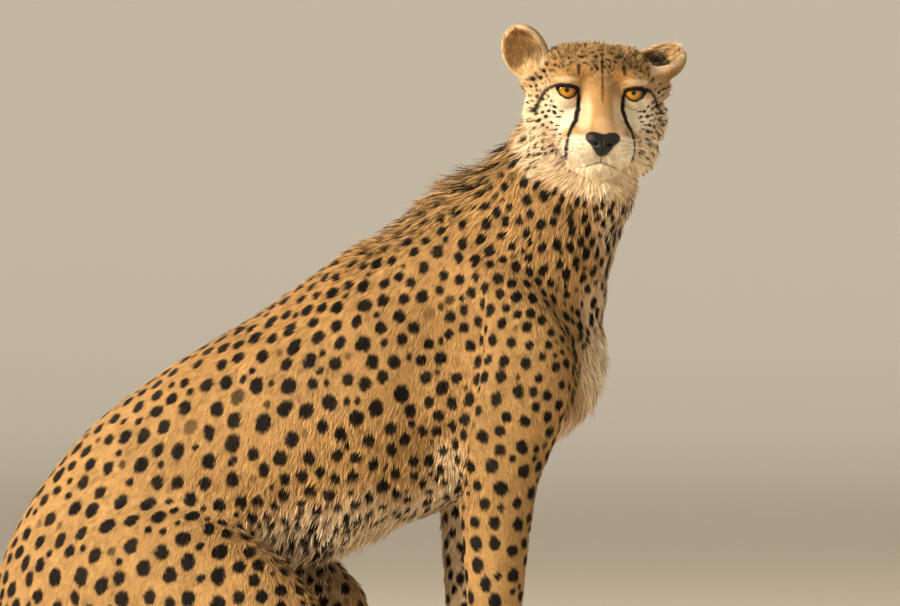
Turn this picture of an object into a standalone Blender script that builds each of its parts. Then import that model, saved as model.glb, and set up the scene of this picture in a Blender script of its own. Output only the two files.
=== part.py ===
"""A life-size cheetah sitting upright with its head turned to its right.

The animal faces -Y, its left side is +X and +Z is up. Tables give centimetres as
forward, up and side, with the side positive to the animal's left, and place() turns them
into metres. The body is modelled whole from lofted limbs and rounded muscles, joined and
smoothed, then parted into its nodes with thin cuts. The head is a blend of ellipsoids.
"""

import math

import bmesh
import bpy
import numpy as np
from mathutils import Matrix, Vector

CM = 0.01

# ---- driving dimensions, in centimetres and radians ----
HEAD_CENTRE = (12.4, 79.4, -4.5)      # forward, up, side of the point midway behind the eyes
HEAD_TURN = math.radians(-73.5)       # turned to the animal's right, towards -X
HEAD_TILT = math.radians(2.5)         # left eye a little lower than the right
EYE_RADIUS = 1.6
EYE_PLACE = (3.3, 0.0, 3.5)           # forward, up, side in the head's own frame
FORELEG_SIDE = 7.6                    # from the middle plane to the middle of a foreleg
LEAD = {"right": 2.1, "left": -3.5}   # the right foreleg stands ahead of the left one
GAP = 0.035                           # between neighbouring solids
CUT = 0.06                            # width of a parting cut

# Paws: forward place of the heel, distance from the middle plane, length of the foot.
FOREPAW = {"heel": 1.4, "side": FORELEG_SIDE * 0.97, "length": 9.4}
HINDPAW = {"heel": -22.6, "side": 11.0, "length": 9.4}
# Across the paw, and ahead of its outer toes, for the four toes.
TOES = ((-2.35, 0.0), (-0.85, 1.75), (0.85, 1.75), (2.35, 0.0))
TOE_RADII = (2.45, 1.75, 1.12)

# Tail: radius of its hook on the floor, forward and side of where that starts, straight end.
TAIL_HOOK = 10.5
TAIL_FLOOR = (-63.0, -3.0)
TAIL_END = 24.0

# Parting cuts: a disc's middle as forward, up, side, the way it faces, and its radius. On a leg
# the side is for the left one, and the wrist's forward counts from the leg's lead.
WRIST_CUT = ((0.0, 8.4, FORELEG_SIDE), (0.15, 1.0, 0.0), 9.0)
KNEE_CUT = ((-32.0, 14.6, 11.0), (-0.5, 1.0, 0.0), 26.0)
HOCK_CUT = ((-34.0, 6.0, 11.0), (0.02, 1.0, 0.0), 26.0)
NECK_CUT = ((1.4, 61.4, 0.0), (0.60, 0.80, 0.0), 16.0)
TAIL_CUTS = (
    ((-60.2, 9.6, -0.3), (-0.5, -0.85, -0.1), 4.8),
    ((-66.4, 3.0, -8.2), (-0.5, 0.0, -0.85), 4.5),
    ((-60.0, 3.0, -24.5), (1.0, 0.0, 0.0), 4.5),
)

# ---- mesh settings ----
BODY_VOXEL = 0.42
BODY_TRIANGLES = 2400
HEAD_VOXEL = 0.3
HEAD_TRIANGLES = 960
HEAD_SOFTNESS = 0.42                  # how widely the head's forms flow into each other
EAR_TRIANGLES = 220
NOSE_TRIANGLES = 120
CUTTER_TRIANGLES = 110
FLOOR_CUT_DEPTH = 10.0

SIDES = {"right": -1, "left": 1}

CLAW_HEIGHT = 1.85
DEWCLAW = {"inward": 2.1, "forward": 1.4, "up": 10.6, "bigness": 0.8}

# ---- finishes: colour and roughness ----
COAT = ((0.62, 0.36, 0.15), 0.85)
AMBER = ((0.45, 0.19, 0.02), 0.08)
NOSE_SKIN = ((0.02, 0.014, 0.012), 0.45)
HORN = ((0.05, 0.04, 0.035), 0.40)

# The head's forms in its own frame: centre and radii (forward, up, side), lean, splay.
# A form off the middle plane is made on both sides.
HEAD_FORMS = (
    ((-2.7, 0.35, 0.0), (6.5, 5.15, 5.6), 0.0, 0.0),      # braincase
    ((0.9, 1.6, 0.0), (3.7, 3.2, 4.0), 0.25, 0.0),        # forehead
    ((-2.4, 2.1, 3.1), (4.6, 2.9, 2.9), 0.0, 0.0),        # temples
    ((-2.4, 1.0, 5.6), (2.5, 2.7, 2.4), 0.0, 0.0),        # roots of the ears
    ((1.2, -0.3, 3.1), (2.9, 2.3, 2.7), 0.0, 0.0),        # round the eyes
    ((2.9, 1.35, 2.7), (1.5, 0.7, 1.9), 0.0, -0.45),      # brows
    ((-0.6, -2.6, 4.1), (4.0, 3.7, 3.6), 0.0, 0.0),       # cheekbones
    ((-2.0, -5.4, 3.7), (4.0, 3.6, 3.4), 0.0, 0.0),       # jowls with their ruff
    ((-2.8, -5.4, 0.0), (5.0, 4.3, 4.8), 0.0, 0.0),       # throat
    ((3.6, -0.6, 0.0), (2.6, 2.3, 1.9), 0.75, 0.0),       # top of the nose bridge
    ((5.9, -2.8, 0.0), (2.9, 1.7, 1.75), 0.8, 0.0),       # lower nose bridge
    ((3.0, -4.4, 0.0), (4.2, 3.3, 3.9), 0.15, 0.0),       # root of the muzzle
    ((6.2, -5.0, 0.0), (2.5, 2.2, 2.9), 0.1, 0.0),        # muzzle
    ((6.3, -5.7, 1.75), (2.3, 1.75, 1.85), 0.0, -0.3),    # whisker pads
    ((4.7, -5.3, 2.6), (2.1, 2.2, 1.5), 0.0, -0.5),       # sides of the muzzle
    ((2.2, -3.8, 4.5), (2.4, 2.6, 1.9), 0.0, -0.5),       # front of the cheeks
    ((5.2, -7.7, 0.0), (2.3, 1.55, 2.4), 0.0, 0.0),       # chin
    ((2.2, -7.0, 0.0), (4.0, 1.9, 3.1), -0.1, 0.0),       # underside of the jaw
)

# Ears: middle of the cup in the head's frame, outward lean, and turn about the ear's length.
# The right ear listens ahead, the left one is laid out to the side with its cup turned up.
EARS = {
    "right": {"middle": (-2.0, 3.9, -7.6), "lean": -0.45, "turn": -0.4},
    "left": {"middle": (-2.2, 3.4, 6.6), "lean": 1.2, "turn": -1.0},
}
EAR_RADII = (1.9, 3.1, 2.5)
EAR_HOLLOW = {"ahead": 1.2, "radii": (1.75, 2.65, 2.05)}


# ---------------------------------------------------------------- placing

def place(forward, up, side=0.0):
    """A point in metres from centimetres forward, up and to the animal's left."""
    return Vector((side, -forward, up)) * CM


def head_frame():
    """The head's own frame, in which it faces -Y and stands level."""
    turned = Matrix.Rotation(HEAD_TURN, 4, "Z") @ Matrix.Rotation(HEAD_TILT, 4, "Y")
    return Matrix.Translation(place(*HEAD_CENTRE)) @ turned


def both_sides(forms):
    """Each form of a head table, and its mirror image where it stands off the middle plane."""
    for (forward, up, side), radii, lean, splay in forms:
        for sign in ((-1, 1) if side else (1,)):
            yield (forward, up, sign * side), radii, lean, sign * splay


# ---------------------------------------------------------------- meshes and cuts

def collection(name, hidden=False):
    made = bpy.data.collections.new(name)
    bpy.context.scene.collection.children.link(made)
    made.hide_render = hidden
    return made


def object_from(bm, name, group):
    """A new object from bm. What is in the group of cutters shows as a wire and isn't rendered."""
    bmesh.ops.recalc_face_normals(bm, faces=bm.faces)
    mesh = bpy.data.meshes.new(name)
    bm.to_mesh(mesh)
    bm.free()
    made = bpy.data.objects.new(name, mesh)
    group.objects.link(made)
    if group.hide_render:
        made.hide_render = True
        made.display_type = "WIRE"
    return made


def baked(obj):
    """obj with its modifiers applied."""
    graph = bpy.context.evaluated_depsgraph_get()
    mesh = bpy.data.meshes.new_from_object(obj.evaluated_get(graph))
    obj.modifiers.clear()
    obj.data = mesh
    return obj


def clay(bm, name, group, voxel, smoothing):
    """Joins overlapping closed shapes into one smooth body."""
    made = object_from(bm, name, group)
    joined = made.modifiers.new("joined", "REMESH")
    joined.mode = "VOXEL"
    joined.voxel_size = voxel * CM
    smooth = made.modifiers.new("smooth", "SMOOTH")
    smooth.factor = 0.5
    smooth.iterations = smoothing
    return baked(made)


def thinned(obj, triangles):
    """obj with about that many triangles."""
    obj.data.calc_loop_triangles()
    fewer = obj.modifiers.new("fewer", "DECIMATE")
    fewer.ratio = min(1.0, triangles / len(obj.data.loop_triangles))
    fewer.use_collapse_triangulate = True
    return baked(obj)


def boolean(obj, cutter, operation="DIFFERENCE"):
    step = obj.modifiers.new("boolean", "BOOLEAN")
    step.operation = operation
    step.solver = "EXACT"
    step.object = cutter
    return baked(obj)


def copied(obj, group, grow=0.0):
    """A copy of obj, its faces moved outwards by that many centimetres."""
    bm = bmesh.new()
    bm.from_mesh(obj.data)
    bm.normal_update()
    moves = [vert.normal * vert.calc_shell_factor() * grow * CM for vert in bm.verts]
    for vert, move in zip(bm.verts, moves):
        vert.co += move
    return object_from(bm, obj.name + "_copy", group)


def bodies_of(obj, group):
    """The separate bodies that obj's mesh has fallen into, each as an object; obj goes."""
    bm = bmesh.new()
    bm.from_mesh(obj.data)
    bm.verts.ensure_lookup_table()
    made, seen = [], set()
    for start in range(len(bm.verts)):
        if start in seen:
            continue
        island, edge = {start}, [bm.verts[start]]
        while edge:
            near = [e.other_vert(v) for v in edge for e in v.link_edges]
            edge = list({v.index: v for v in near if v.index not in island}.values())
            island.update(v.index for v in edge)
        seen |= island
        body = bm.copy()
        bmesh.ops.delete(body, geom=[v for v in body.verts if v.index not in island], context="VERTS")
        made.append(object_from(body, "body", group))
    bm.free()
    bpy.data.objects.remove(obj)
    return made


def centre_of(obj):
    corners = np.array([v.co for v in obj.data.vertices])
    return Vector((corners.min(0) + corners.max(0)) / 2)


def size_of(obj):
    bm = bmesh.new()
    bm.from_mesh(obj.data)
    volume = bm.calc_volume()
    bm.free()
    return volume


def main_body(obj, group):
    """The largest of the bodies in obj's mesh, without the shavings that a cut leaves."""
    bodies = sorted(bodies_of(obj, group), key=size_of)
    for shaving in bodies[:-1]:
        bpy.data.objects.remove(shaving)
    return bodies[-1]


def slab(group, cut, side=1, lead=0.0):
    """A thin disc that parts what it crosses, for the leg on that side and with that lead."""
    (forward, up, out), normal, radius = cut
    centre = (forward + lead, up, side * out)
    bm = bmesh.new()
    turn = place(*normal).to_track_quat("Z", "Y").to_matrix().to_4x4()
    bmesh.ops.create_cone(
        bm, cap_ends=True, segments=24, radius1=radius * CM, radius2=radius * CM, depth=CUT * CM,
        matrix=Matrix.Translation(place(*centre)) @ turn,
    )
    return object_from(bm, "slab", group)


def carved(body, cutter, group):
    """What of body lies inside cutter, as a new object; body keeps the rest, a gap away."""
    inside = main_body(boolean(copied(body, group), cutter, "INTERSECT"), group)
    boolean(body, copied(cutter, cutter.users_collection[0], grow=GAP))
    return inside


# ---------------------------------------------------------------- shapes

def catmull_rom(rows, t):
    """The value of a smooth curve through rows at t, counted in rows."""
    last = len(rows) - 1
    k = min(int(t), last - 1)
    u = t - k
    before, start, end, after = (np.array(rows[max(0, min(last, k + d))]) for d in (-1, 0, 1, 2))
    slope = end - before
    bend = 2 * before - 5 * start + 4 * end - after
    twist = 3 * start - before - 3 * end + after
    return start + 0.5 * (slope * u + bend * u**2 + twist * u**3)


def loft(bm, stations, across=Vector((1, 0, 0)), steps=4, points=28, rounding=(30, 60, 82)):
    """A round-ended limb. A station is forward, up, side, half depth and half width."""
    count = (len(stations) - 1) * steps
    rows = [catmull_rom(stations, i / steps) for i in range(count + 1)]
    centres = [place(*row[:3]) for row in rows]

    def ring(i, beyond=0.0):
        """A ring at row i; beyond rounds off an end, from 0 at its rim to a right angle."""
        along = (centres[min(i + 1, count)] - centres[max(i - 1, 0)]).normalized()
        wide = (across - along * across.dot(along)).normalized()
        deep = along.cross(wide)
        half_depth, half_width = rows[i][3] * CM, rows[i][4] * CM
        reach = min(half_depth, half_width) * math.sin(beyond)
        centre = centres[i] + along * (reach if i else -reach)
        made = []
        for k in range(points):
            turn = 2 * math.pi * k / points
            out = wide * half_width * math.cos(turn) + deep * half_depth * math.sin(turn)
            made.append(bm.verts.new(centre + out * math.cos(beyond)))
        return made

    rings = [ring(0, math.radians(angle)) for angle in reversed(rounding)]
    rings += [ring(i) for i in range(count + 1)]
    rings += [ring(count, math.radians(angle)) for angle in rounding]
    for first, second in zip(rings, rings[1:]):
        for k in range(points):
            after = (k + 1) % points
            bm.faces.new((first[k], first[after], second[after], second[k]))
    bm.faces.new(rings[0])
    bm.faces.new(rings[-1])


def muscle(bm, centre, radii, lean=0.0, splay=0.0, frame=Matrix.Identity(4)):
    """An ellipsoid. lean tips its front down, splay turns its front to the animal's left."""
    turn = Matrix.Rotation(splay, 4, "Z") @ Matrix.Rotation(lean, 4, "X")
    size = Matrix.Diagonal((radii[2] * CM, radii[0] * CM, radii[1] * CM, 1))
    matrix = frame @ Matrix.Translation(place(*centre)) @ turn @ size
    bmesh.ops.create_uvsphere(bm, u_segments=24, v_segments=16, radius=1, matrix=matrix)


# ---------------------------------------------------------------- the body

def add_trunk(bm):
    """Chest, belly and rump along the spine, from the breast down to the seat."""
    loft(bm, [
        # forward, up, side, half depth, half width
        (6.2, 60.6, 0, 8.0, 5.4),
        (2.4, 57.0, 0, 14.2, 8.4),
        (-6.7, 50.8, 0, 14.9, 10.0),
        (-18.0, 44.3, 0, 14.0, 10.2),
        (-28.7, 39.5, 0, 12.7, 9.4),
        (-36.5, 35.0, 0, 11.5, 8.8),
        (-42.4, 29.4, 0, 10.2, 8.9),
        (-45.8, 23.0, 0, 9.2, 9.2),
        (-47.0, 16.0, 0, 8.3, 8.8),
        (-46.6, 9.5, 0, 7.4, 7.6),
        (-45.6, 5.0, 0, 6.0, 5.6),
    ])
    muscle(bm, (5.4, 51.3, 0), (7.8, 8.6, 6.8))                  # breast
    muscle(bm, (-2.0, 42.6, 0), (9.5, 5.0, 6.2), lean=-0.55)     # keel of the sternum
    muscle(bm, (-15.5, 36.4, 0), (11.5, 6.0, 7.4), lean=-0.47)   # belly with its loose fur


def add_neck(bm):
    loft(bm, [
        (-1.8, 57.4, 0, 12.0, 7.0),
        (3.0, 63.4, 0, 11.2, 7.0),
        (7.0, 68.6, -0.4, 8.7, 6.6),
        (10.6, 74.3, -0.9, 7.0, 6.0),
        (11.8, 78.0, -1.4, 6.0, 5.4),
    ])
    muscle(bm, (-4.2, 65.0, 0), (6.5, 5.0, 4.2), lean=-0.7)      # withers
    muscle(bm, (11.8, 70.2, -1.6), (4.6, 6.2, 5.0))              # throat under the turned jaw


def add_foreleg(bm, side, lead):
    """Shoulder blade to pastern. The lead grows down the leg, to its whole at the elbow."""
    rows = [
        # forward, up, share of FORELEG_SIDE, half depth, half width, share of the lead
        (-5.6, 63.5, 0.46, 3.6, 2.4, 0.0),
        (-1.6, 58.2, 0.80, 6.6, 3.2, 0.1),
        (2.6, 51.4, 1.00, 7.2, 3.7, 0.35),
        (1.6, 45.6, 1.06, 6.8, 3.9, 0.7),
        (0.6, 40.6, 1.04, 5.2, 3.5, 0.95),
        (0.2, 35.8, 1.02, 4.25, 3.05, 1.0),
        (0.0, 26.0, 1.00, 3.3, 2.6, 1.0),
        (-0.1, 18.4, 0.98, 2.7, 2.35, 1.0),
        (0.0, 14.2, 0.97, 2.8, 2.55, 1.0),
        (0.6, 8.6, 0.97, 2.6, 2.6, 1.0),
        (1.9, 4.8, 0.97, 2.9, 3.0, 1.0),
    ]
    out = side * FORELEG_SIDE
    loft(bm, [(f + lead * part, up, out * share, deep, wide) for f, up, share, deep, wide, part in rows])
    muscle(bm, (-2.6 + lead * 0.9, 41.6, out * 1.03), (2.0, 2.7, 1.9), lean=0.5)     # elbow
    muscle(bm, (-3.6 + lead * 0.4, 47.6, out * 0.98), (4.6, 6.4, 3.3), lean=-0.4)    # triceps
    muscle(bm, (-2.2 + lead, 13.4, out * 0.98), (1.1, 1.4, 1.1))                     # carpal pad


def toe_places(paw, side, lead=0.0):
    """Forward and side of each toe's middle."""
    for across, ahead in TOES:
        yield lead + paw["heel"] + paw["length"] * 0.36 + ahead, side * paw["side"] + across


def add_paw(bm, paw, side, lead=0.0):
    """A paw on the floor: its arch, its main pad and four toes."""
    heel, out = lead + paw["heel"], side * paw["side"]
    muscle(bm, (heel + 1.6, 2.3, out), (paw["length"] * 0.42, 2.5, 3.15))
    muscle(bm, (heel + 0.2, 1.2, out), (paw["length"] * 0.30, 1.7, 2.5))
    for forward, across in toe_places(paw, side, lead):
        muscle(bm, (forward, 1.65, across), TOE_RADII)


def add_hindleg(bm, side):
    """Thigh, shank and the long foot, folded under the sitting rump."""
    limbs = (
        [   # thigh
            (-45.5, 26.5, 5.6, 7.6, 4.4),
            (-39.0, 25.8, 7.8, 10.4, 5.0),
            (-31.5, 25.2, 9.2, 10.6, 4.9),
            (-24.6, 24.0, 10.2, 8.8, 4.6),
            (-19.8, 22.4, 10.6, 6.0, 4.0),
        ],
        [   # shank
            (-20.2, 20.0, 10.6, 5.4, 3.8),
            (-28.0, 14.2, 10.5, 5.2, 3.5),
            (-36.0, 8.4, 10.0, 4.2, 3.0),
            (-42.0, 4.8, 9.7, 3.4, 2.7),
        ],
        [   # foot from hock to toes
            (-43.5, 3.3, 9.7, 3.0, 2.5),
            (-37.0, 2.9, 10.0, 2.9, 2.7),
            (-30.0, 2.6, 10.5, 2.7, 2.8),
            (-24.0, 2.6, 11.0, 2.7, 3.0),
        ],
    )
    for rows in limbs:
        loft(bm, [(f, up, side * out, deep, wide) for f, up, out, deep, wide in rows])
    muscle(bm, (-45.0, 14.5, side * 6.5), (8.2, 13.0, 5.0))      # buttock
    muscle(bm, (-36.0, 14.5, side * 9.0), (12.0, 8.0, 4.6))      # calf pressed to the thigh
    muscle(bm, (-20.0, 21.0, side * 10.6), (5.6, 6.0, 4.0))      # knee


def tail_stations():
    """From the root down to the floor, then round an open hook to the animal's right."""
    forward, side = TAIL_FLOOR
    rows = [
        (-49.5, 21.0, 0.0, 4.2, 4.4),
        (-56.0, 15.0, 0.0, 3.6, 3.8),
        (forward + 2.2, 8.2, side * 0.2, 3.1, 3.2),
        (forward, 3.8, side, 2.85, 2.9),
    ]
    hook_steps = 8
    for step in range(1, hook_steps):
        turn = math.pi * step / hook_steps
        back = TAIL_HOOK * 0.42 * math.sin(turn)
        rows.append((forward - back, 2.55, side - TAIL_HOOK * (1 - math.cos(turn)), 2.75, 2.75))
    end_side = side - 2 * TAIL_HOOK
    rows.append((forward + TAIL_END * 0.35, 2.5, end_side - 0.6, 2.75, 2.85))
    rows.append((forward + TAIL_END * 0.70, 2.5, end_side - 1.6, 2.75, 2.9))
    rows.append((forward + TAIL_END, 2.4, end_side - 1.4, 2.3, 2.4))
    return rows


def whole_body(group):
    """Trunk, neck, legs and tail in one smooth mesh, cut flat where it stands on the floor."""
    bm = bmesh.new()
    add_trunk(bm)
    add_neck(bm)
    for name, side in SIDES.items():
        add_foreleg(bm, side, LEAD[name])
        add_paw(bm, FOREPAW, side, LEAD[name])
        add_hindleg(bm, side)
        add_paw(bm, HINDPAW, side)
    loft(bm, tail_stations(), across=Vector((0, 0, 1)))
    return thinned(clay(bm, "body", group, BODY_VOXEL, 9), BODY_TRIANGLES)


def floor_block(group):
    """What lies below the floor."""
    bm = bmesh.new()
    size = Matrix.Diagonal((2, 2, FLOOR_CUT_DEPTH * CM, 1))
    bmesh.ops.create_cube(bm, size=1, matrix=Matrix.Translation(place(0, -FLOOR_CUT_DEPTH / 2)) @ size)
    return object_from(bm, "floor", group)


# ---------------------------------------------------------------- the head

def head_depth(points):
    """Roughly how far each point, in the head's frame, lies outside its blended forms."""
    depths = []
    for centre, radii, lean, splay in both_sides(HEAD_FORMS):
        turn = Matrix.Rotation(splay, 3, "Z") @ Matrix.Rotation(lean, 3, "X")
        local = (points - np.array(place(*centre))) @ np.array(turn)
        radii = np.array((radii[2], radii[0], radii[1])) * CM
        near = np.linalg.norm(local / radii, axis=1)
        steep = np.linalg.norm(local / radii**2, axis=1)
        depths.append(near * (near - 1) / np.maximum(steep, 1e-6))
    depths = np.array(depths)
    nearest = depths.min(0)
    soft = HEAD_SOFTNESS * CM
    return nearest - soft * np.log(np.exp((nearest - depths) / soft).sum(0))


def head_body(group):
    """The head in its own frame: joined ellipsoids, settled onto their smooth blend."""
    bm = bmesh.new()
    for centre, radii, lean, splay in both_sides(HEAD_FORMS):
        muscle(bm, centre, radii, lean, splay)
    head = clay(bm, "head", group, HEAD_VOXEL, 2)
    points = np.array([v.co for v in head.data.vertices])
    probe = 0.05 * CM
    for _ in range(4):
        steps = np.eye(3) * probe
        slope = np.stack([(head_depth(points + s) - head_depth(points - s)) / (2 * probe) for s in steps], 1)
        flat = np.maximum((slope**2).sum(1), 0.2)
        points -= (head_depth(points) / flat)[:, None] * slope
    head.data.vertices.foreach_set("co", points.ravel())
    return thinned(head, HEAD_TRIANGLES)


def ear_body(name, group, cutters):
    """A cupped ear: a rounded form hollowed from in front, still in the head's frame."""
    ear = EARS[name]
    stand = Matrix.Translation(place(*ear["middle"]))
    stand = stand @ Matrix.Rotation(ear["lean"], 4, "Y") @ Matrix.Rotation(ear["turn"], 4, "Z")
    bm = bmesh.new()
    muscle(bm, (0, 0, 0), EAR_RADII, frame=stand)
    made = object_from(bm, f"ear_{name}", group)
    bm = bmesh.new()
    muscle(bm, (EAR_HOLLOW["ahead"], 0, 0), EAR_HOLLOW["radii"], frame=stand)
    boolean(made, object_from(bm, "ear_hollow", cutters))
    return thinned(made, EAR_TRIANGLES)


def eye_body(name, group):
    forward, up, out = EYE_PLACE
    bm = bmesh.new()
    centre = place(forward, up, SIDES[name] * out)
    upright = Matrix.Translation(centre) @ Matrix.Rotation(math.pi / 2, 4, "X")
    bmesh.ops.create_uvsphere(bm, u_segments=14, v_segments=8, radius=EYE_RADIUS * CM, matrix=upright)
    return object_from(bm, f"eye_{name}", group)


def nose_body(group):
    """The nose pad: broad above, narrowing to the lip."""
    bm = bmesh.new()
    muscle(bm, (7.9, -4.7, 0), (1.2, 0.75, 1.85), lean=0.2)
    muscle(bm, (7.9, -5.5, 0), (1.15, 0.95, 1.25), lean=-0.3)
    return thinned(clay(bm, "nose", group, 0.12, 3), NOSE_TRIANGLES)


# ---------------------------------------------------------------- claws

def claw_body(name, group, forward, up, side, bigness=1.0):
    """A curved claw that leaves the toe forwards and points down."""
    bm = bmesh.new()
    shape = (
        # ahead of the root, drop, half depth, half width
        (0.0, 0.0, 0.42, 0.34),
        (1.0, 0.05, 0.38, 0.30),
        (1.7, 0.45, 0.22, 0.18),
        (2.0, 0.95, 0.07, 0.06),
    )
    rows = [(forward + a * bigness, up - d * bigness, side, h * bigness, w * bigness) for a, d, h, w in shape]
    loft(bm, rows, steps=1, points=6, rounding=())
    return object_from(bm, name, group)


def add_claws(nodes, group, cutters):
    """Four claws to a paw and a dewclaw inside each foreleg, each seated in a socket."""
    for name, side in SIDES.items():
        seats = {f"forepaw_{name}": [], f"hindpaw_{name}": [], f"foreleg_{name}": []}
        for paw, lead in ((FOREPAW, LEAD[name]), (HINDPAW, 0.0)):
            foot = "forepaw" if paw is FOREPAW else "hindpaw"
            for number, (forward, across) in enumerate(toe_places(paw, side, lead), 1):
                claw = claw_body(f"{foot}_{name}_claw_{number}", group, forward + 1.3, CLAW_HEIGHT, across)
                seats[f"{foot}_{name}"].append(claw)
        inner = side * (FOREPAW["side"] - DEWCLAW["inward"])
        dewclaw = claw_body(
            f"dewclaw_{name}", group, LEAD[name] + DEWCLAW["forward"], DEWCLAW["up"], inner, DEWCLAW["bigness"],
        )
        seats[f"foreleg_{name}"].append(dewclaw)
        for node, claws in seats.items():
            for claw in claws:
                boolean(nodes[node], copied(claw, cutters, grow=GAP))
                nodes[claw.name] = claw


# ---------------------------------------------------------------- parting and finishing

def finish(obj, name, colour, roughness, root):
    """Names a finished node, gives it its own material and hangs it on the root."""
    obj.name = obj.data.name = name
    material = bpy.data.materials.new(name)
    material.use_nodes = True
    shader = material.node_tree.nodes["Principled BSDF"]
    shader.inputs["Base Color"].default_value = (*colour, 1)
    shader.inputs["Roughness"].default_value = roughness
    shader.inputs["Metallic"].default_value = 0
    obj.data.materials.clear()
    obj.data.materials.append(material)
    centre = centre_of(obj)
    obj.data.transform(Matrix.Translation(-centre))
    obj.location = centre
    obj.parent = root
    return obj


def stand_on_origin(root, objects):
    """Moves the root so that the animal stands on the floor with its box round the origin."""
    bpy.context.view_layer.update()
    corners = np.array([obj.matrix_world @ v.co for obj in objects for v in obj.data.vertices])
    low, high = corners.min(0), corners.max(0)
    root.location = (-(low[0] + high[0]) / 2, -(low[1] + high[1]) / 2, -low[2])


def foreleg_cutter(name, group):
    """Holds one foreleg from the shoulder down, and nothing else but a shaving of chest."""
    side, lead = SIDES[name], LEAD[name]
    bm = bmesh.new()
    loft(bm, [
        (-1.5, 56.0, side * 13.2, 9.0, 6.2),
        (0.5 + lead * 0.4, 49.0, side * 11.6, 9.6, 6.0),
        (-0.6 + lead * 0.7, 43.4, side * 10.4, 9.2, 5.9),
        (-0.4 + lead, 38.0, side * 9.2, 8.2, 6.2),
        (lead, 28.0, side * 8.2, 7.0, 5.6),
        (1.0 + lead, 12.0, side * 8.0, 7.0, 5.4),
        (3.0 + lead, -2.0, side * 8.0, 11.0, 6.4),
    ], steps=1, points=12, rounding=(45,))
    bmesh.ops.triangulate(bm, faces=bm.faces)   # so that its grown copy folds the same way
    return object_from(bm, "foreleg_cutter", group)


def hindleg_cutter(name, group):
    """Holds one hind leg from the haunch down, and nothing of the tail."""
    side = SIDES[name]
    bm = bmesh.new()
    muscle(bm, (-35.0, 22.0, side * 15.2), (21.5, 16.0, 9.8))
    muscle(bm, (-32.0, 4.0, side * 12.6), (23.0, 9.0, 7.4))
    return thinned(clay(bm, "hindleg_cutter", group, 0.8, 4), CUTTER_TRIANGLES)


def parted(limb, cutter, group):
    """The upper and the lower body that a slab makes of limb."""
    bodies = sorted(bodies_of(boolean(limb, cutter), group), key=size_of)
    for shaving in bodies[:-2]:
        bpy.data.objects.remove(shaving)
    return sorted(bodies[-2:], key=lambda body: -centre_of(body).z)


def build():
    for obj in list(bpy.data.objects):
        bpy.data.objects.remove(obj)
    animal = collection("cheetah")
    cutters = collection("cutters", hidden=True)
    nodes = {}

    # the head is finished in its own frame, then turned into place
    head = head_body(animal)
    head_room = copied(head, cutters, grow=GAP)
    for name in SIDES:
        ear = boolean(ear_body(name, animal, cutters), head_room)
        nodes[f"ear_{name}"] = main_body(ear, animal)
    for name in SIDES:
        eye = eye_body(name, animal)
        boolean(head, copied(eye, cutters, grow=GAP))
        nodes[f"eye_{name}"] = eye
    nose = nose_body(animal)
    boolean(head, copied(nose, cutters, grow=GAP))
    nodes["nose"] = nose
    nodes["head"] = main_body(head, animal)
    for obj in [*nodes.values(), *cutters.objects]:
        obj.data.transform(head_frame())

    # legs come off the body, and then the neck and the tail
    body = whole_body(animal)
    boolean(body, floor_block(cutters))
    for name, side in SIDES.items():
        leg = carved(body, foreleg_cutter(name, cutters), animal)
        wrist = slab(cutters, WRIST_CUT, side, LEAD[name])
        nodes[f"foreleg_{name}"], nodes[f"forepaw_{name}"] = parted(leg, wrist, animal)
        leg = carved(body, hindleg_cutter(name, cutters), animal)
        knee = slab(cutters, KNEE_CUT, side)
        nodes[f"thigh_{name}"], lower = parted(leg, knee, animal)
        hock = slab(cutters, HOCK_CUT, side)
        nodes[f"shank_{name}"], nodes[f"hindpaw_{name}"] = parted(lower, hock, animal)
    for cut in (NECK_CUT, *TAIL_CUTS):
        boolean(body, slab(cutters, cut))
    rest = sorted(bodies_of(body, animal), key=size_of)[-5:]
    rest.sort(key=lambda obj: centre_of(obj).y)
    tail = sorted(rest[2:], key=lambda obj: -centre_of(obj).x)
    nodes |= {"neck": rest[0], "trunk": rest[1]}
    nodes |= dict(zip(("tail_root", "tail_middle", "tail_tip"), tail))
    nodes["neck"] = main_body(boolean(nodes["neck"], head_room), animal)
    add_claws(nodes, animal, cutters)

    finishes = {"eye": AMBER, "nose": NOSE_SKIN, "claw": HORN}
    root = bpy.data.objects.new("root", None)
    animal.objects.link(root)
    for name, obj in nodes.items():
        kind = next((kind for kind in finishes if kind in name), None)
        finish(obj, name, *(finishes[kind] if kind else COAT), root)
    stand_on_origin(root, list(nodes.values()))


build()
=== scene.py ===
"""A seated cheetah with its head turned to its right: skin, coat, eyes, nose, claws and whiskers.

Places are in centimetres as forward, up and side (side positive to the animal's left),
either in the body's frame or in the head's own frame. World coordinates are in metres, with
the body facing -Y, its left side towards +X and +Z up.
"""

import itertools
import math

import bmesh
import bpy
import numpy as np
from mathutils import Matrix, Vector
from mathutils.bvhtree import BVHTree


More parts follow.
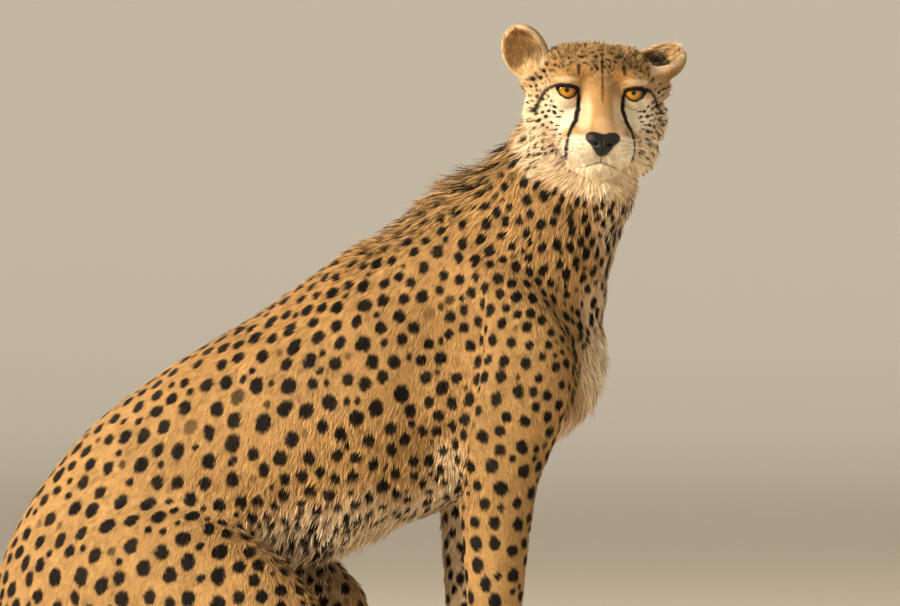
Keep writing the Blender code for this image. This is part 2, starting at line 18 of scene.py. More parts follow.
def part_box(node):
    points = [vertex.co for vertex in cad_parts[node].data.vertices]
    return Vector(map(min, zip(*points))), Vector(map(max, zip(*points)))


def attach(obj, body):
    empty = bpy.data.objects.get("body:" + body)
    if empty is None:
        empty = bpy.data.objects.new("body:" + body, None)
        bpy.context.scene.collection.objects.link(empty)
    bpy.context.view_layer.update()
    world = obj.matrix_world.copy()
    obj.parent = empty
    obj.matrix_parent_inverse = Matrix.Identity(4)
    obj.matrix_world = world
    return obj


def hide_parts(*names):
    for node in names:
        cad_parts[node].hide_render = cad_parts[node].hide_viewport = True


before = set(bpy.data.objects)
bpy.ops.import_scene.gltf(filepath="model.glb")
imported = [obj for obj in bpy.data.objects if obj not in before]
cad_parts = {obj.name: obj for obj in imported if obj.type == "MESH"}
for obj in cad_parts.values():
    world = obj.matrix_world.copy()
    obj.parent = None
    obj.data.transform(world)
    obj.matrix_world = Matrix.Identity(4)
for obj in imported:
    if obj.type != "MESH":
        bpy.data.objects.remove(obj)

bl_info = {
    "name": "Seated cheetah",
    "version": (1, 0, 0),
    "blender": (4, 5, 0),
    "location": "3D View > Sidebar > Cheetah",
    "description": "Builds a life-size seated cheetah over its solid model",
    "category": "Object",
}

CM = 0.01
MM = 0.001
SIDES = {"right": -1, "left": 1}

# ---- how the head stands in the body's frame ----
HEAD_CENTRE = (12.4, 79.4, -4.5)
HEAD_TURN = math.radians(-73.5)
HEAD_TILT = math.radians(2.5)
EYE_PLACE = (3.3, 0.0, 3.5)           # in the head's frame

# ---- nodes of flesh, and the part of the coat that each one carries ----
COAT_OF_NODE = {
    "head": "head", "ear_left": "head", "ear_right": "head",
    "neck": "neck", "trunk": "trunk",
    "foreleg_left": "foreleg", "forepaw_left": "foreleg",
    "foreleg_right": "foreleg", "forepaw_right": "foreleg",
    "thigh_left": "haunch", "thigh_right": "haunch",
    "shank_left": "hindleg", "hindpaw_left": "hindleg",
    "shank_right": "hindleg", "hindpaw_right": "hindleg",
    "tail_root": "tail", "tail_middle": "tail", "tail_tip": "tail",
}
# How many times over the tufts cover each part, against the coat's own setting.
PART_COVER = {
    "head": 1.65, "neck": 1.65, "trunk": 1.42, "foreleg": 1.3, "haunch": 1.6, "hindleg": 1.1, "tail": 1.5,
}
COAT_PARTS = tuple(PART_COVER)
CHEST_LENGTH = 17.0                   # the chest's pieces end that far behind the forefeet

# The head's forms under its coat: centre and radii as forward, up, side, then lean and splay.
HEAD_FORMS = (
    ((-2.7, 0.35, 0.0), (6.5, 5.15, 5.6), 0.0, 0.0),      # braincase
    ((0.9, 1.6, 0.0), (3.7, 3.2, 4.0), 0.25, 0.0),        # forehead
    ((-2.4, 2.1, 3.1), (4.6, 2.9, 2.9), 0.0, 0.0),        # temples
    ((-2.4, 1.0, 5.6), (2.5, 2.7, 2.4), 0.0, 0.0),        # roots of the ears
    ((1.5, -0.2, 3.5), (3.0, 2.4, 2.6), 0.0, 0.0),        # round the eyes
    ((3.1, 1.40, 2.9), (1.6, 0.7, 1.9), 0.0, -0.45),      # brows
    ((-0.6, -2.6, 4.1), (4.0, 3.7, 3.6), 0.0, 0.0),       # cheekbones
    ((-2.0, -5.4, 3.7), (4.0, 3.6, 3.4), 0.0, 0.0),       # jowls
    ((-2.8, -5.4, 0.0), (5.0, 4.3, 4.8), 0.0, 0.0),       # throat
    ((3.6, -0.6, 0.0), (2.6, 2.3, 1.9), 0.75, 0.0),       # top of the nose bridge
    ((5.9, -2.8, 0.0), (2.9, 1.7, 1.75), 0.8, 0.0),       # lower nose bridge
    ((3.0, -4.4, 0.0), (4.2, 3.3, 3.9), 0.15, 0.0),       # root of the muzzle
    ((6.2, -5.0, 0.0), (2.5, 2.2, 2.9), 0.1, 0.0),        # muzzle
    ((6.3, -5.7, 1.75), (2.3, 1.75, 1.85), 0.0, -0.3),    # whisker pads
    ((4.7, -5.3, 2.6), (2.1, 2.2, 1.5), 0.0, -0.5),       # sides of the muzzle
    ((2.2, -3.8, 4.5), (2.4, 2.6, 1.9), 0.0, -0.5),       # front of the cheeks
    ((5.2, -7.7, 0.0), (2.3, 1.55, 2.4), 0.0, 0.0),       # chin
    ((2.2, -7.0, 0.0), (4.0, 1.9, 3.1), -0.1, 0.0),       # underside of the jaw
)
HEAD_SOFTNESS = 0.42
HEAD_BOX = ((-9.5, -11.0, -12.0), (10.0, 8.0, 11.0))

# Ears: middle of the cup in the head's frame, outward lean, turn about the ear's length, and the
# painted shade in the cup's hollow: up and side, how far it reaches, and how dark it is.
EARS = {
    "right": {
        "middle": (-2.0, 3.9, -7.6), "lean": -0.45, "turn": -0.4,
        "dark": ((3.6, -6.3), (1.2, 0.8), 0.5),
    },
    "left": {
        "middle": (-2.2, 3.4, 6.6), "lean": 1.2, "turn": -1.0,
        "dark": ((3.3, 6.0), (1.25, 1.9), 0.97),
    },
}
EAR_RADII = (1.75, 2.95, 2.4)
EAR_HOLLOW = {"ahead": 1.45, "radii": (2.65, 2.62, 2.06)}

# The opening between the lids, in centimetres over the eyeball, outward and up from its middle.
LIDS = {"middle": 0.04, "reach": 1.12, "rise": 0.25, "drop": 0.76, "slant": 0.06}
LID_THICKNESS = 0.17
# The dark rim round the opening, and how much wider it is over the eye.
EYE_RIM = 0.13
UPPER_RIM = 0.24

# The mouth as side and up, from the middle of the lip outwards, then the cleft under the nose.
MOUTH = ((0.0, -7.38), (0.55, -7.52), (1.2, -7.78), (1.8, -7.93), (2.5, -7.9))
LIP_CLEFT = ((0.0, -6.4), (0.0, -7.35))

# The nose pad's forms and the nostrils cut into them, as the head's forms are given.
NOSE_FORMS = (
    ((7.75, -4.74, 0.78), (1.28, 0.60, 0.90), 0.25, -0.12),  # the pad's broad top
    ((7.78, -5.02, 1.15), (1.05, 0.66, 0.80), 0.0, -0.35),   # wings
    ((7.90, -5.45, 0.0), (1.22, 0.95, 1.35), -0.15, 0.0),    # between the nostrils
    ((8.00, -5.95, 0.0), (1.05, 0.75, 0.72), -0.25, 0.0),    # down to the lip
)
NOSTRILS = (
    ((9.05, -5.56, 0.74), (0.50, 0.16, 0.24), 0.3, 0.3),
    ((8.75, -5.66, 1.25), (0.50, 0.08, 0.42), 0.2, 0.5),
)
NOSE_SOFTNESS = 0.16
NOSE_BOX = ((5.8, -7.2, -2.4), (9.8, -3.7, 2.4))
NOSE_STEP = 0.055

# ---- the lie of the coat ----
# On the body: place, flow, length in millimetres, lift in degrees, size of the spots in
# centimetres. The left side mirrors the right one.
BODY_LIE = (
    ((5.0, 75.0, 0.0), (-0.72, -0.69, 0.0), 30, 36, 0.34),      # nape
    ((-1.0, 71.5, 0.0), (-0.80, -0.60, 0.0), 34, 36, 0.40),     # mane
    ((-8.0, 66.5, 0.0), (-0.82, -0.57, 0.0), 26, 28, 0.46),     # withers
    ((-20.0, 58.5, 0.0), (-0.82, -0.57, 0.0), 8, 14, 0.62),     # back
    ((-35.0, 49.0, 0.0), (-0.80, -0.60, 0.0), 7, 13, 0.68),     # loin
    ((-47.0, 38.0, 0.0), (-0.55, -0.83, 0.0), 7, 13, 0.7),      # croup
    ((-56.0, 20.0, 0.0), (-0.25, -0.97, 0.0), 8, 14, 0.6),      # seat
    ((-4.0, 62.0, 7.0), (-0.55, -0.83, 0.1), 7.5, 14, 0.6),     # shoulder blade
    ((0.0, 54.0, 11.0), (-0.28, -0.96, 0.0), 6.5, 13, 0.58),    # shoulder
    ((6.0, 49.0, 9.0), (-0.05, -1.0, 0.0), 6.5, 13, 0.56),      # point of the shoulder
    ((12.0, 58.0, 4.0), (-0.02, -1.0, 0.0), 9, 17, 0.46),       # front of the chest
    ((12.5, 50.0, 0.0), (0.35, -0.93, 0.0), 20, 36, 0.0),       # breast
    ((4.0, 40.0, 0.0), (-0.2, -0.97, 0.0), 18, 26, 0.0),        # sternum
    ((-12.0, 31.5, 0.0), (-0.30, -0.95, 0.0), 26, 34, 0.0),     # belly
    ((-20.0, 30.0, 5.0), (-0.30, -0.95, 0.0), 22, 28, 0.45),    # groin
    ((-11.0, 50.0, 10.0), (-0.34, -0.94, 0.0), 7, 13, 0.74),    # ribs
    ((-24.0, 44.0, 11.0), (-0.32, -0.95, 0.0), 7.5, 13, 0.82),  # flank
    ((-12.0, 39.0, 9.5), (-0.24, -0.97, 0.0), 14, 18, 0.68),    # lower ribs
    ((-38.0, 34.0, 14.0), (-0.42, -0.90, 0.0), 6.5, 12, 0.86),  # haunch
    ((-28.0, 26.0, 15.0), (-0.15, -0.98, 0.0), 6.5, 12, 0.8),   # thigh
    ((-19.0, 22.0, 11.0), (-0.05, -1.0, 0.0), 7, 12, 0.6),      # knee
    ((-44.0, 14.0, 13.0), (-0.30, -0.95, 0.0), 7, 13, 0.62),    # buttock
    ((-30.0, 9.0, 13.0), (0.45, -0.89, 0.0), 6, 12, 0.5),       # shank
    ((-31.0, 3.0, 12.0), (1.0, -0.15, 0.0), 5, 12, 0.38),       # hind foot
    ((-15.0, 2.0, 11.0), (1.0, -0.25, 0.0), 3.6, 12, 0.27),     # hind toes
    ((3.0, 42.0, 11.5), (0.0, -1.0, 0.0), 6.5, 12, 0.70),       # elbow
    ((0.0, 31.0, 10.5), (0.0, -1.0, 0.0), 5.5, 11, 0.84),       # forearm, outside
    ((0.0, 31.0, 4.5), (0.0, -1.0, 0.0), 6, 12, 0.36),          # forearm, inside
    ((-4.5, 38.0, 7.5), (-0.2, -0.98, 0.0), 13, 22, 0.50),      # feather behind the elbow
    ((0.0, 15.0, 8.0), (0.0, -1.0, 0.0), 5, 11, 0.48),          # wrist
    ((4.0, 5.0, 7.5), (0.75, -0.66, 0.0), 4.2, 12, 0.36),       # forepaw
    ((9.0, 2.0, 7.5), (1.0, -0.30, 0.0), 3.4, 12, 0.26),        # front toes
    ((5.0, 69.0, 7.0), (-0.35, -0.94, 0.0), 10, 17, 0.50),      # side of the neck
    ((13.5, 68.0, 2.0), (0.0, -1.0, 0.0), 13, 20, 0.30),        # throat
)
# The fold where the shoulder and upper arm stand out from the ribs: up, forward and depth, and
# how softly it runs out behind and ahead of its line.
SHOULDER_FOLD = (
    (37.0, -2.4, 0.0), (41.0, -1.8, 2.0), (47.0, -0.7, 3.0),
    (53.0, 0.2, 2.9), (58.0, 0.4, 1.7), (63.0, -1.5, 0.0),
)
FOLD_WIDTH = {"behind": 7.5, "ahead": 0.8}
TAIL_LIE = {"length": 12, "lift": 15, "spot": 0.62, "tip_length": 20}

# On the head: place, length, lift, size of the spots.
HEAD_LIE = (
    ((6.5, -3.0, 0.0), 2.6, 15, 0.0),      # lower nose bridge
    ((4.5, -0.8, 0.0), 3.2, 16, 0.0),      # upper nose bridge
    ((7.4, -5.6, 2.2), 3.8, 18, 0.0),      # whisker pads
    ((6.4, -6.9, 3.3), 6.5, 22, 0.0),      # corner of the mouth
    ((7.2, -8.2, 0.0), 6.0, 26, 0.0),      # chin
    ((5.6, -8.6, 2.4), 8.0, 27, 0.0),      # side of the chin
    ((5.0, -9.3, 0.0), 10.0, 27, 0.0),     # under the chin
    ((4.4, -3.0, 3.2), 3.8, 15, 0.0),      # beside the nose
    ((3.6, -2.6, 5.0), 4.6, 20, 0.18),     # under the eye
    ((4.2, 1.6, 3.0), 4.2, 24, 0.0),       # brow
    ((2.8, 3.9, 0.0), 5.6, 24, 0.23),      # forehead
    ((0.6, 5.2, 2.5), 9.5, 42, 0.26),      # crown
    ((-4.0, 5.6, 0.0), 13.0, 42, 0.28),    # poll
    ((1.2, 2.4, 5.6), 7.5, 28, 0.20),      # temple
    ((1.8, -2.6, 6.8), 9.5, 30, 0.24),     # cheek
    ((3.4, -5.4, 5.2), 9.0, 27, 0.25),     # lower cheek
    ((1.6, -6.6, 6.2), 12.0, 32, 0.26),    # edge of the jaw
    ((1.0, -8.2, 4.6), 12.0, 24, 0.0),     # jowl
    ((-2.0, -5.0, 7.2), 14.0, 27, 0.34),   # ruff
    ((2.5, -9.2, 0.0), 12.0, 22, 0.0),     # throat
    ((-5.0, -1.0, 6.0), 13.0, 28, 0.32),   # behind the cheek
    ((-8.5, 1.0, 0.0), 16.0, 30, 0.3),     # back of the head
)
EAR_LIE = {"length": 4.0, "lift": 20, "inner_length": 8.5, "inner_lift": 24}

# ---- patches of colour: centre, radii, colour, strength; mirrored ----
BODY_PATCHES = (
    ((-25.0, 56.0, 0.0), (40.0, 12.0, 8.0), "ochre", 0.45),
    ((-14.0, 30.0, 0.0), (22.0, 10.0, 9.0), "cream", 0.95),
    ((2.0, 40.0, 0.0), (10.0, 9.0, 7.0), "cream", 0.95),
    ((13.0, 51.0, 0.0), (4.5, 11.0, 5.2), "cream", 0.7),
    ((14.5, 68.0, 0.0), (4.0, 9.0, 6.0), "cream", 0.7),
    ((0.0, 24.0, 3.2), (6.0, 22.0, 4.2), "cream", 0.85),
    ((-28.0, 10.0, 5.0), (16.0, 12.0, 5.5), "cream", 0.85),
    ((6.0, 1.5, 7.5), (8.0, 2.6, 5.0), "cream", 0.45),
    ((-22.0, 1.2, 11.0), (14.0, 2.6, 6.0), "cream", 0.45),
    ((13.0, 49.0, 1.0), (3.4, 5.0, 3.8), "white", 0.4),
)
HEAD_PATCHES = (
    ((2.0, 3.0, 0.0), (6.0, 4.0, 5.0), "sand", 0.6),
    ((4.5, 1.9, 2.2), (2.6, 1.2, 1.3), "ochre", 0.7),
    ((5.2, -1.2, 0.0), (3.0, 3.2, 1.1), "ochre", 0.35),
    ((6.0, -3.0, 1.8), (2.6, 2.9, 0.9), "cream", 0.62),
    ((7.2, -4.0, 0.0), (2.0, 1.5, 1.2), "cream", 0.25),
    ((1.0, -4.0, 6.4), (6.5, 6.0, 3.4), "cream", 0.85),
    ((4.2, -2.3, 3.8), (2.8, 2.3, 1.8), "white", 0.75),
    ((0.5, 1.2, 6.4), (4.5, 2.6, 3.0), "ochre", 0.45),
    ((4.6, 1.16, 3.7), (1.6, 0.30, 1.4), "cream", 0.6),
    ((6.8, -6.1, 2.3), (3.6, 1.6, 2.1), "white", 0.9),
    ((6.4, -8.2, 0.0), (3.6, 1.5, 3.4), "white", 1.0),
    ((3.6, -9.0, 0.0), (4.6, 2.4, 4.6), "white", 0.7),
    ((2.0, -8.8, 0.0), (6.0, 3.6, 6.2), "cream", 0.8),
    ((0.0, -7.0, 5.5), (4.5, 3.0, 3.0), "cream", 0.45),
)

# ---- rounds of spots: share of the size, clearance in radii, odds, odds of a faint one, least size
BODY_ROUNDS = ((1.0, 1.40, 1.0, 0.02, 0.22), (0.55, 1.42, 0.35, 0.25, 0.40))
FACE_LEAST = 0.08
FACE_ROUNDS = ((1.0, 1.36, 1.0, 0.15, FACE_LEAST), (0.55, 1.5, 1.0, 0.2, 0.15))
NEIGHBOURS = tuple(itertools.product((-1, 0, 1), repeat=3))
SPOT_PLACES = 60000                   # points of the skin where a spot may start

# ---- dark marks on the face: side and up along a line, half its width along it, how dark ----
FACE_MARKS = (
    # tear line
    (((2.40, 0.25), (2.33, -0.8), (2.34, -1.9), (2.62, -3.05), (3.16, -4.0), (3.46, -5.0),
      (3.56, -5.9), (3.46, -6.7), (3.32, -7.3)), (0.14, 0.19, 0.24, 0.22, 0.15, 0.12, 0.12, 0.13, 0.08), 1.0),
    # from the outer corner of the eye
    (((4.4, 0.42), (4.95, 0.36), (5.55, 0.0), (5.95, -0.75), (6.35, -1.7), (6.50, -2.7)),
     (0.22, 0.17, 0.13, 0.17, 0.19, 0.12), 0.98),
    # brow spot
    (((2.42, 1.85), (2.34, 2.6)), (0.14, 0.21), 0.88),
    # middle of the forehead
    (((0.0, 3.9), (0.0, 1.9), (0.0, 0.5)), (0.07, 0.07, 0.08), 0.92),
    (((0.0, 0.5), (0.0, -0.4), (0.0, -1.3)), (0.14, 0.15, 0.03), 0.6),
    # small dashes between the brows and over them
    (((0.58, 2.75), (0.86, 2.60)), (0.08, 0.08), 0.85),
    (((0.98, 2.32), (1.14, 2.20)), (0.09, 0.09), 0.85),
    (((0.62, 2.08), (0.78, 1.98)), (0.08, 0.08), 0.8),
    (((1.02, 1.66), (1.12, 1.58)), (0.08, 0.08), 0.75),
    (((0.55, 3.30), (0.95, 3.10)), (0.08, 0.10), 0.85),
    (((1.45, 3.66), (2.20, 3.60)), (0.11, 0.10), 0.92),
    (((3.05, 2.9), (3.20, 2.7)), (0.09, 0.09), 0.75),
    (((3.45, 2.1), (3.60, 1.9)), (0.09, 0.09), 0.7),
)
# Rows of whisker spots under each other, each with a count of spots and a count of hairs.
WHISKER_ROWS = {"rows": 4, "top": -5.05, "apart": 0.52, "start": 1.85, "step": 0.36, "count": 5, "hairs": 3}
WHISKER_STEPS = 8
WHISKER_CORNERS = 5

# ---- the stage, in metres ----
# Lights: size, right of the camera's line, towards the camera, up, and colour.
LIGHTS = {
    "key": (1.5, -4.0, 2.3, 2.3, (1.0, 0.89, 0.73)),
    "fill": (3.0, 2.8, 2.6, 0.9, (1.0, 0.96, 0.92)),
    "rim": (1.5, -1.6, -2.6, 2.2, (1.0, 0.85, 0.66)),
}
# The floor's flat rings, then the bend up into the backdrop.
FLOOR_RINGS = (3.0, 5.0, 7.0, 8.5)
FLOOR_FLAT = 10.0
FLOOR_BEND = 8.0

COLOUR_LAYER = "coat_colour"
BATCH = 60000                         # points worked on at once, to spare memory


# ---------------------------------------------------------------- places

def place(forward, up, side=0.0):
    """A point in metres from centimetres forward, up and to the animal's left."""
    return Vector((side, -forward, up)) * CM


def middle_of(node):
    """The middle of a node's box."""
    low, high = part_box(node)
    return (low + high) / 2


def head_frame():
    """The head's own frame, found from the two eyes."""
    turned = Matrix.Rotation(HEAD_TURN, 4, "Z") @ Matrix.Rotation(HEAD_TILT, 4, "Y")
    between = (middle_of("eye_left") + middle_of("eye_right")) / 2
    return Matrix.Translation(between - turned @ place(EYE_PLACE[0], EYE_PLACE[1])) @ turned


HEAD = head_frame()
BODY = Matrix.Translation(HEAD.translation - place(*HEAD_CENTRE))


def directions_in(own_frame, directions):
    """World directions as forward, up, side in a frame."""
    local = directions @ np.array(own_frame.to_3x3())
    return np.stack([-local[:, 1], local[:, 2], local[:, 0]], 1)


def places_in(own_frame, points):
    """World points in metres as forward, up and side in centimetres in a frame."""
    return directions_in(own_frame, points - np.array(own_frame.translation)) / CM


def directions_out(own_frame, directions):
    """Directions as forward, up, side in a frame, turned into world directions."""
    local = np.stack([directions[:, 2], -directions[:, 0], directions[:, 1]], 1)
    return local @ np.array(own_frame.to_3x3()).T


def world_points(own_frame, places):
    """The reverse of places_in."""
    return directions_out(own_frame, places) * CM + np.array(own_frame.translation)


def mirrored(places):
    """Places with both of the animal's sides laid on one."""
    return np.stack([places[:, 0], places[:, 1], np.abs(places[:, 2])], 1)


def in_places(direction):
    """A direction as side, back, up turned into forward, up, side."""
    return np.array((-direction[1], direction[2], direction[0]))


def unit(vectors):
    """Vectors at length 1."""
    return vectors / np.maximum(np.linalg.norm(vectors, axis=1, keepdims=True), 1e-9)


def smooth(low, high, value):
    """0 below low, 1 above high and a soft step between; low may be the larger one."""
    t = np.clip((value - low) / (high - low), 0, 1)
    return t * t * (3 - 2 * t)


NOISE_CELLS = 32


def noise(points, size, seed, channels=1):
    """Smooth noise from -1 to 1; size is how wide its lumps are, in the points' unit."""
    table = np.random.default_rng(seed).uniform(-1, 1, (NOISE_CELLS,) * 3 + (channels,))
    scaled = points / size
    cell = np.floor(scaled).astype(int)
    share = scaled - cell
    share = share * share * (3 - 2 * share)
    total = np.zeros((len(points), channels))
    for corner in itertools.product((0, 1), repeat=3):
        weight = np.prod(np.where(corner, share, 1 - share), axis=1)
        at = (cell + corner) % NOISE_CELLS
        total += weight[:, None] * table[at[:, 0], at[:, 1], at[:, 2]]
    return total if channels > 1 else total[:, 0]


def from_rows(points, rows, values, near=1.5):
    """Values between the rows of a table, each row weighed by its nearness."""
    rows, values = np.array(rows, float), np.array(values, float)
    out = np.empty((len(points), values.shape[1]))
    for start in range(0, len(points), BATCH):
        part = points[start:start + BATCH]
        apart = ((part[:, None] - rows[None]) ** 2).sum(2) + near**2
        weight = 1 / apart**2
        out[start:start + BATCH] = weight @ values / weight.sum(1)[:, None]
    return out


# ---------------------------------------------------------------- the head as a solid field

def both_sides(forms):
    """Forms with the mirror image of each that stands off the middle."""
    for (forward, up, side), radii, lean, splay in forms:
        for sign in ((-1, 1) if side else (1,)):
            yield (forward, up, sign * side), radii, lean, sign * splay


def form_turn(lean, splay):
    """The turn of a form that leans back and splays outwards."""
    return Matrix.Rotation(splay, 3, "Z") @ Matrix.Rotation(lean, 3, "X")


def turned_local(points, centre, turn):
    """Points, in forward, up, side, seen in a form's own turned axes as side, back, up."""
    away = points - np.array(centre, points.dtype)
    axes = np.stack([away[:, 2], -away[:, 0], away[:, 1]], 1)
    return axes @ np.array(turn, points.dtype)


def outside(local, radii):
    """Roughly how far each point lies outside an ellipsoid."""
    size = np.array((radii[2], radii[0], radii[1]), local.dtype)
    near = np.sqrt(((local / size) ** 2).sum(1))
    steep = np.sqrt(((local / size**2) ** 2).sum(1))
    return near * (near - 1) / np.maximum(steep, 1e-6)


def blended(points, forms, softness):
    """How far each point lies outside forms that flow into each other."""
    total = np.zeros(len(points), points.dtype)
    for centre, radii, lean, splay in both_sides(forms):
        local = turned_local(points, centre, form_turn(lean, splay))
        total += np.exp(-outside(local, radii) / softness)
    return -softness * np.log(total + 1e-30)


def joined(first, second, softness):
    """The union of two solids given by their depths, with a soft crease."""
    low = np.minimum(first, second)
    return low - softness * np.log(np.exp((low - first) / softness) + np.exp((low - second) / softness))


def cut(body, tool, softness):
    """body without tool, with a softened edge."""
    return -joined(-body, tool, softness)


def ear_turn(ear):
    """How an ear's own axes are turned in the head's."""
    return Matrix.Rotation(ear["lean"], 3, "Y") @ Matrix.Rotation(ear["turn"], 3, "Z")


def ear_local(points, ear):
    """Points in an ear's own axes, as forward, up and side."""
    local = turned_local(points, ear["middle"], ear_turn(ear))
    return np.stack([-local[:, 1], local[:, 2], local[:, 0]], 1)


def ear_depth(points, ear):
    """How far each point lies outside an ear with its hollow."""
    local = turned_local(points, ear["middle"], ear_turn(ear))
    hollow = local + np.array((0, EAR_HOLLOW["ahead"], 0), local.dtype)
    return cut(outside(local, EAR_RADII), outside(hollow, EAR_HOLLOW["radii"]), 0.1)


def lid_opening(points, sign):
    """How far each point lies outside the cone through the opening of the lids, and from the eye."""
    away = points - np.array((EYE_PLACE[0], EYE_PLACE[1], sign * EYE_PLACE[2]), points.dtype)
    far = np.sqrt((away**2).sum(1))
    radius = eye_radius()
    ahead = np.maximum(away[:, 0], 0.05)
    out = radius * np.arctan2(sign * away[:, 2], ahead)
    up = radius * np.arctan2(away[:, 1], np.sqrt(ahead**2 + away[:, 2] ** 2))
    share = (out - LIDS["middle"]) / LIDS["reach"]
    line = LIDS["slant"] * share
    upper = line + LIDS["rise"] * (1 - np.abs(share) ** 4.0) * (1 + 0.10 * share)
    lower = line - LIDS["drop"] * (1 - np.abs(share) ** 2.2)
    gap = np.maximum(np.maximum(up - upper, lower - up), (np.abs(share) - 1) * LIDS["reach"])
    return np.where(away[:, 0] > 0, gap, 3.0), far


def eye_radius():
    """The radius of an eye in centimetres, from its node."""
    low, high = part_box("eye_left")
    return (high.z - low.z) / 2 / CM


def line_distance(flat, line):
    """Distance of flat points from a line of points, and how far along it, in its rows."""
    best = np.full(len(flat), 1e9)
    along = np.zeros(len(flat))
    for row, (start, end) in enumerate(zip(line, line[1:])):
        start, end = np.array(start), np.array(end)
        run = end - start
        t = np.clip(((flat - start) @ run) / (run @ run), 0, 1)
        far = np.linalg.norm(flat - start - t[:, None] * run, axis=1)
        closer = far < best
        best[closer] = far[closer]
        along[closer] = row + t[closer]
    return best, along


def coat_depth(points):
    """How thick the coat lies over the head, in centimetres."""
    length, lift = from_rows(
        mirrored(points), [row[0] for row in HEAD_LIE], [row[1:3] for row in HEAD_LIE], near=0.8).T
    return 0.05 + 0.085 * length * np.sin(np.radians(lift))


def head_depth(points):
    """How far each point lies outside the head's skin, with its ears, lids and mouth."""
    depth = blended(points, HEAD_FORMS, HEAD_SOFTNESS)
    close = np.abs(depth) < 3.5
    near = points[close]
    skin = depth[close] + coat_depth(near)
    for ear in EARS.values():
        skin = joined(skin, ear_depth(near, ear), 0.35)
    radius = eye_radius()
    for sign in SIDES.values():
        gap, far = lid_opening(near, sign)
        skin = joined(skin, far - radius - LID_THICKNESS, 0.22)
        skin = cut(skin, np.maximum(gap, radius - 0.25 - far), 0.03)
    flat = np.stack([np.abs(near[:, 2]), near[:, 1]], 1)
    ahead = smooth(4.0, 5.5, near[:, 0])
    lips, _ = line_distance(flat, MOUTH)
    cleft, _ = line_distance(flat, LIP_CLEFT)
    skin += ahead * (0.20 * np.exp(-(lips / 0.09) ** 2) + 0.10 * np.exp(-(cleft / 0.08) ** 2))
    depth[close] = skin
    for ear in EARS.values():
        away = ~close
        depth[away] = np.minimum(depth[away], ear_depth(points[away], ear))
    return depth


# ---------------------------------------------------------------- meshes from fields

def field_mesh(step, low, high, field):
    """A quad mesh round the zero of a field, on a grid of that step: points and faces."""
    axes = [np.arange(a, b + step, step, dtype=np.float32) for a, b in zip(low, high)]
    shape = tuple(len(axis) for axis in axes)
    values = np.empty(shape, np.float32)
    plane = np.stack(np.meshgrid(axes[1], axes[2], indexing="ij"), -1).reshape(-1, 2)
    for i, forward in enumerate(axes[0]):
        points = np.column_stack([np.full(len(plane), forward, np.float32), plane])
        values[i] = field(points).reshape(shape[1:])
    # each cell that the surface passes through gets one point
    inside = values < 0
    count = np.zeros(tuple(n - 1 for n in shape), np.int8)
    for corner in itertools.product((0, 1), repeat=3):
        count += inside[tuple(slice(c, n - 1 + c) for c, n in zip(corner, shape))]
    active = (count > 0) & (count < 8)
    cells = np.argwhere(active)
    index = np.full(active.shape, -1)
    index[active] = np.arange(len(cells))
    total, crossings = np.zeros((len(cells), 3)), np.zeros(len(cells))
    faces = []
    for axis in range(3):
        others = [a for a in range(3) if a != axis]
        # the point is the mean of where the surface crosses the cell's edges
        for shift in itertools.product((0, 1), repeat=2):
            start = cells.copy()
            start[:, others] += shift
            end = start.copy()
            end[:, axis] += 1
            first, last = values[tuple(start.T)], values[tuple(end.T)]
            crosses = (first < 0) != (last < 0)
            where = start[crosses].astype(float)
            where[:, axis] += first[crosses] / (first[crosses] - last[crosses])
            total[crosses] += where
            crossings[crosses] += 1
        # each edge that the surface crosses gets a face between the four cells round it
        before, after = [slice(None)] * 3, [slice(None)] * 3
        before[axis], after[axis] = slice(0, -1), slice(1, None)
        edges = np.argwhere(inside[tuple(before)] != inside[tuple(after)])
        edges = edges[(edges[:, others] > 0).all(1)]
        quad = []
        for shift in ((0, 0), (1, 0), (1, 1), (0, 1)):
            cell = edges.copy()
            cell[:, others] -= shift
            quad.append(index[tuple(cell.T)])
        quad = np.stack(quad, 1)
        # forward, up, side is a left-handed frame, so outward faces run the other way round in it
        flip = inside[tuple(edges.T)] ^ (axis == 1)
        quad[flip] = quad[flip][:, ::-1]
        faces.append(quad)
    return total / crossings[:, None] * step + np.array(low), np.concatenate(faces)


def settled(points, field, rounds=2, probe=0.02):
    """Points moved onto the zero of a field."""
    points = points.copy()
    for _ in range(rounds):
        slope = np.stack([
            (field(points + side) - field(points - side)) / (2 * probe) for side in np.eye(3) * probe
        ], 1)
        flat = np.maximum((slope**2).sum(1), 0.25)
        step = (field(points) / flat)[:, None] * slope
        size = np.linalg.norm(step, axis=1, keepdims=True)
        points -= step * np.minimum(1, 0.08 / np.maximum(size, 1e-9))
    return points


def linked(name, data):
    """A new object in the scene."""
    made = bpy.data.objects.new(name, data)
    bpy.context.scene.collection.objects.link(made)
    return made


def mesh_from(name, points, corners, starts):
    """A mesh from world points, the corners of all its faces, and where each face's corners start."""
    mesh = bpy.data.meshes.new(name)
    mesh.vertices.add(len(points))
    mesh.loops.add(len(corners))
    mesh.polygons.add(len(starts))
    mesh.vertices.foreach_set("co", np.ascontiguousarray(points, np.float32).ravel())
    mesh.loops.foreach_set("vertex_index", np.ascontiguousarray(corners, np.int32))
    mesh.polygons.foreach_set("loop_start", np.ascontiguousarray(starts, np.int32))
    mesh.update(calc_edges=True)
    return mesh


def mesh_object(name, points, faces):
    """A new object from arrays of world points and of faces with equal corner counts."""
    starts = np.arange(len(faces)) * faces.shape[1]
    return linked(name, mesh_from(name, points, faces.ravel(), starts))


def points_of(mesh):
    """A mesh's points, one row each."""
    points = np.empty(len(mesh.vertices) * 3, np.float32)
    mesh.vertices.foreach_get("co", points)
    return points.reshape(-1, 3).astype(float)


